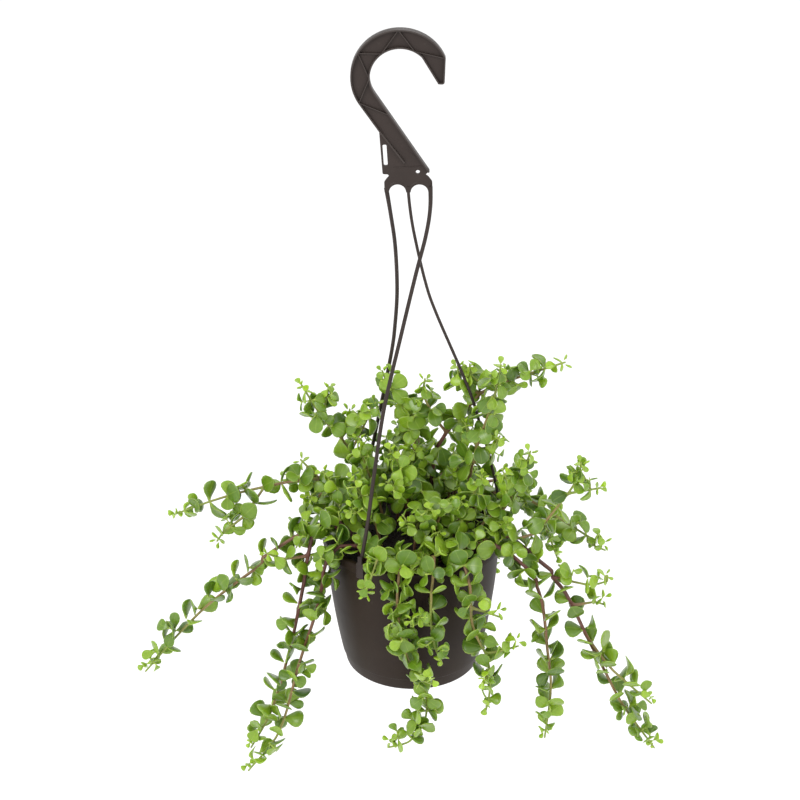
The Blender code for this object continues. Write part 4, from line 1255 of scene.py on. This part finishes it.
class BUSH_OT_clips(bpy.types.Operator):
    """Model one rim clip and copy it to the foot of each strand"""

    bl_idname = "bush.clips"
    bl_label = "Clips"

    def execute(self, context):
        settings = context.scene.bush_holder
        inner = LIP_RADIUS + CLIP_GAP
        outer = inner + CLIP_THICKNESS
        skirt = -settings.lip_skirt - CLIP_GAP
        foot = skirt - BARB_DEPTH
        barb = wall_radius(-skirt + BARB_DEPTH) + BARB_GAP
        body = [(inner, CLIP_RISE, 0.0004), (outer, CLIP_RISE, 0.0009), (outer, foot, 0.0010),
                (barb, foot, 0.0004), (barb, skirt, 0.0004), (inner, skirt, 0.0003)]
        clip = prism("clip", rounded(body), CLIP_WIDTH, 0.0005)
        stalk = [(inner, NECK_LOW, 0), (outer, NECK_LOW, 0), (outer - NECK_INSET, NECK_HIGH, 0.001),
                 (inner + NECK_INSET, NECK_HIGH, 0.001)]
        combine(clip, "UNION", prism("neck", rounded(stalk), NECK_WIDTH, 0.0005))
        for name, _, azimuth, _ in STRANDS:
            copy = own_copy(clip)
            copy.name = name.replace("strand", "clip")
            copy.data.transform(Matrix.Translation((POT_AXIS_X, 0, RIM_Z))
                                @ Matrix.Rotation(math.radians(azimuth), 4, "Z"))
            finish_piece(copy, hanger_plastic(settings), angle=35)
        bpy.data.objects.remove(clip)
        return {"FINISHED"}


# Stage

FLOOR_Z = -1.15
FLOOR_SIZE = 30
LIT_POINT = Vector((0.0, 0.0, -0.38))
# Name, place, width and power.
LIGHTS = (("key", (-1.3, -1.5, 1.2), 1.1, 26.0), ("fill", (1.6, -1.0, 0.4), 1.2, 7.0),
          ("back", (0.3, 1.6, 1.3), 1.2, 10.0))


class BUSH_OT_stage(bpy.types.Operator):
    """Set out the pale floor, the soft lights and the camera"""

    bl_idname = "bush.stage"
    bl_label = "Stage"

    def execute(self, context):
        settings = context.scene.bush_stage
        deselect()
        bpy.ops.mesh.primitive_plane_add(size=FLOOR_SIZE, location=(0, 0, FLOOR_Z))
        floor = named("floor")
        floor.data.materials.append(backdrop_finish())
        world = bpy.data.worlds.new("studio")
        context.scene.world = world
        world.use_nodes = True
        background = world.node_tree.nodes["Background"]
        background.inputs["Color"].default_value = (*WHITE, 1.0)
        background.inputs["Strength"].default_value = settings.sky
        for name, place, size, power in LIGHTS:
            bpy.ops.object.light_add(type="AREA", location=place)
            light = context.active_object
            light.name = name
            light.data.size = size
            light.data.energy = power
            light.rotation_euler = (LIT_POINT - Vector(place)).to_track_quat("-Z", "Y").to_euler()
        bpy.ops.object.camera_add(location=(0, -settings.camera_distance, settings.camera_height),
                                  rotation=(math.pi / 2 - settings.camera_dip, 0, 0))
        camera = context.active_object
        camera.data.lens = settings.lens
        camera.data.sensor_width = 36.0
        context.scene.camera = camera
        context.scene.view_settings.view_transform = "Standard"
        return {"FINISHED"}


STEPS = (BUSH_OT_pot, BUSH_OT_soil, BUSH_OT_hook, BUSH_OT_strands, BUSH_OT_clips, BUSH_OT_plant,
         BUSH_OT_stage)


class BUSH_PT_panel(bpy.types.Panel):
    """Lists the steps and their settings"""

    bl_idname = "BUSH_PT_panel"
    bl_label = "Elephant Bush"
    bl_space_type = "VIEW_3D"
    bl_region_type = "UI"
    bl_category = "Elephant Bush"

    def draw(self, context):
        for group in (context.scene.bush_holder, context.scene.bush_plant, context.scene.bush_stage):
            box = self.layout.box()
            for name in group.__annotations__:
                box.prop(group, name)
        for step in STEPS:
            self.layout.operator(step.bl_idname)


GROUPS = (("bush_plant", BUSH_PG_plant), ("bush_holder", BUSH_PG_holder), ("bush_stage", BUSH_PG_stage))
CLASSES = (*(group for _, group in GROUPS), *STEPS, BUSH_PT_panel)


def register():
    for item in CLASSES:
        bpy.utils.register_class(item)
    for name, group in GROUPS:
        setattr(bpy.types.Scene, name, bpy.props.PointerProperty(type=group))


def unregister():
    for name, _ in GROUPS:
        delattr(bpy.types.Scene, name)
    for item in reversed(CLASSES):
        bpy.utils.unregister_class(item)


def main():
    register()
    bpy.ops.bush.pot()
    bpy.ops.bush.soil()
    bpy.ops.bush.hook()
    bpy.ops.bush.strands()
    bpy.ops.bush.clips()
    bpy.ops.bush.plant()
    bpy.ops.bush.stage()


if __name__ == "__main__":
    main()
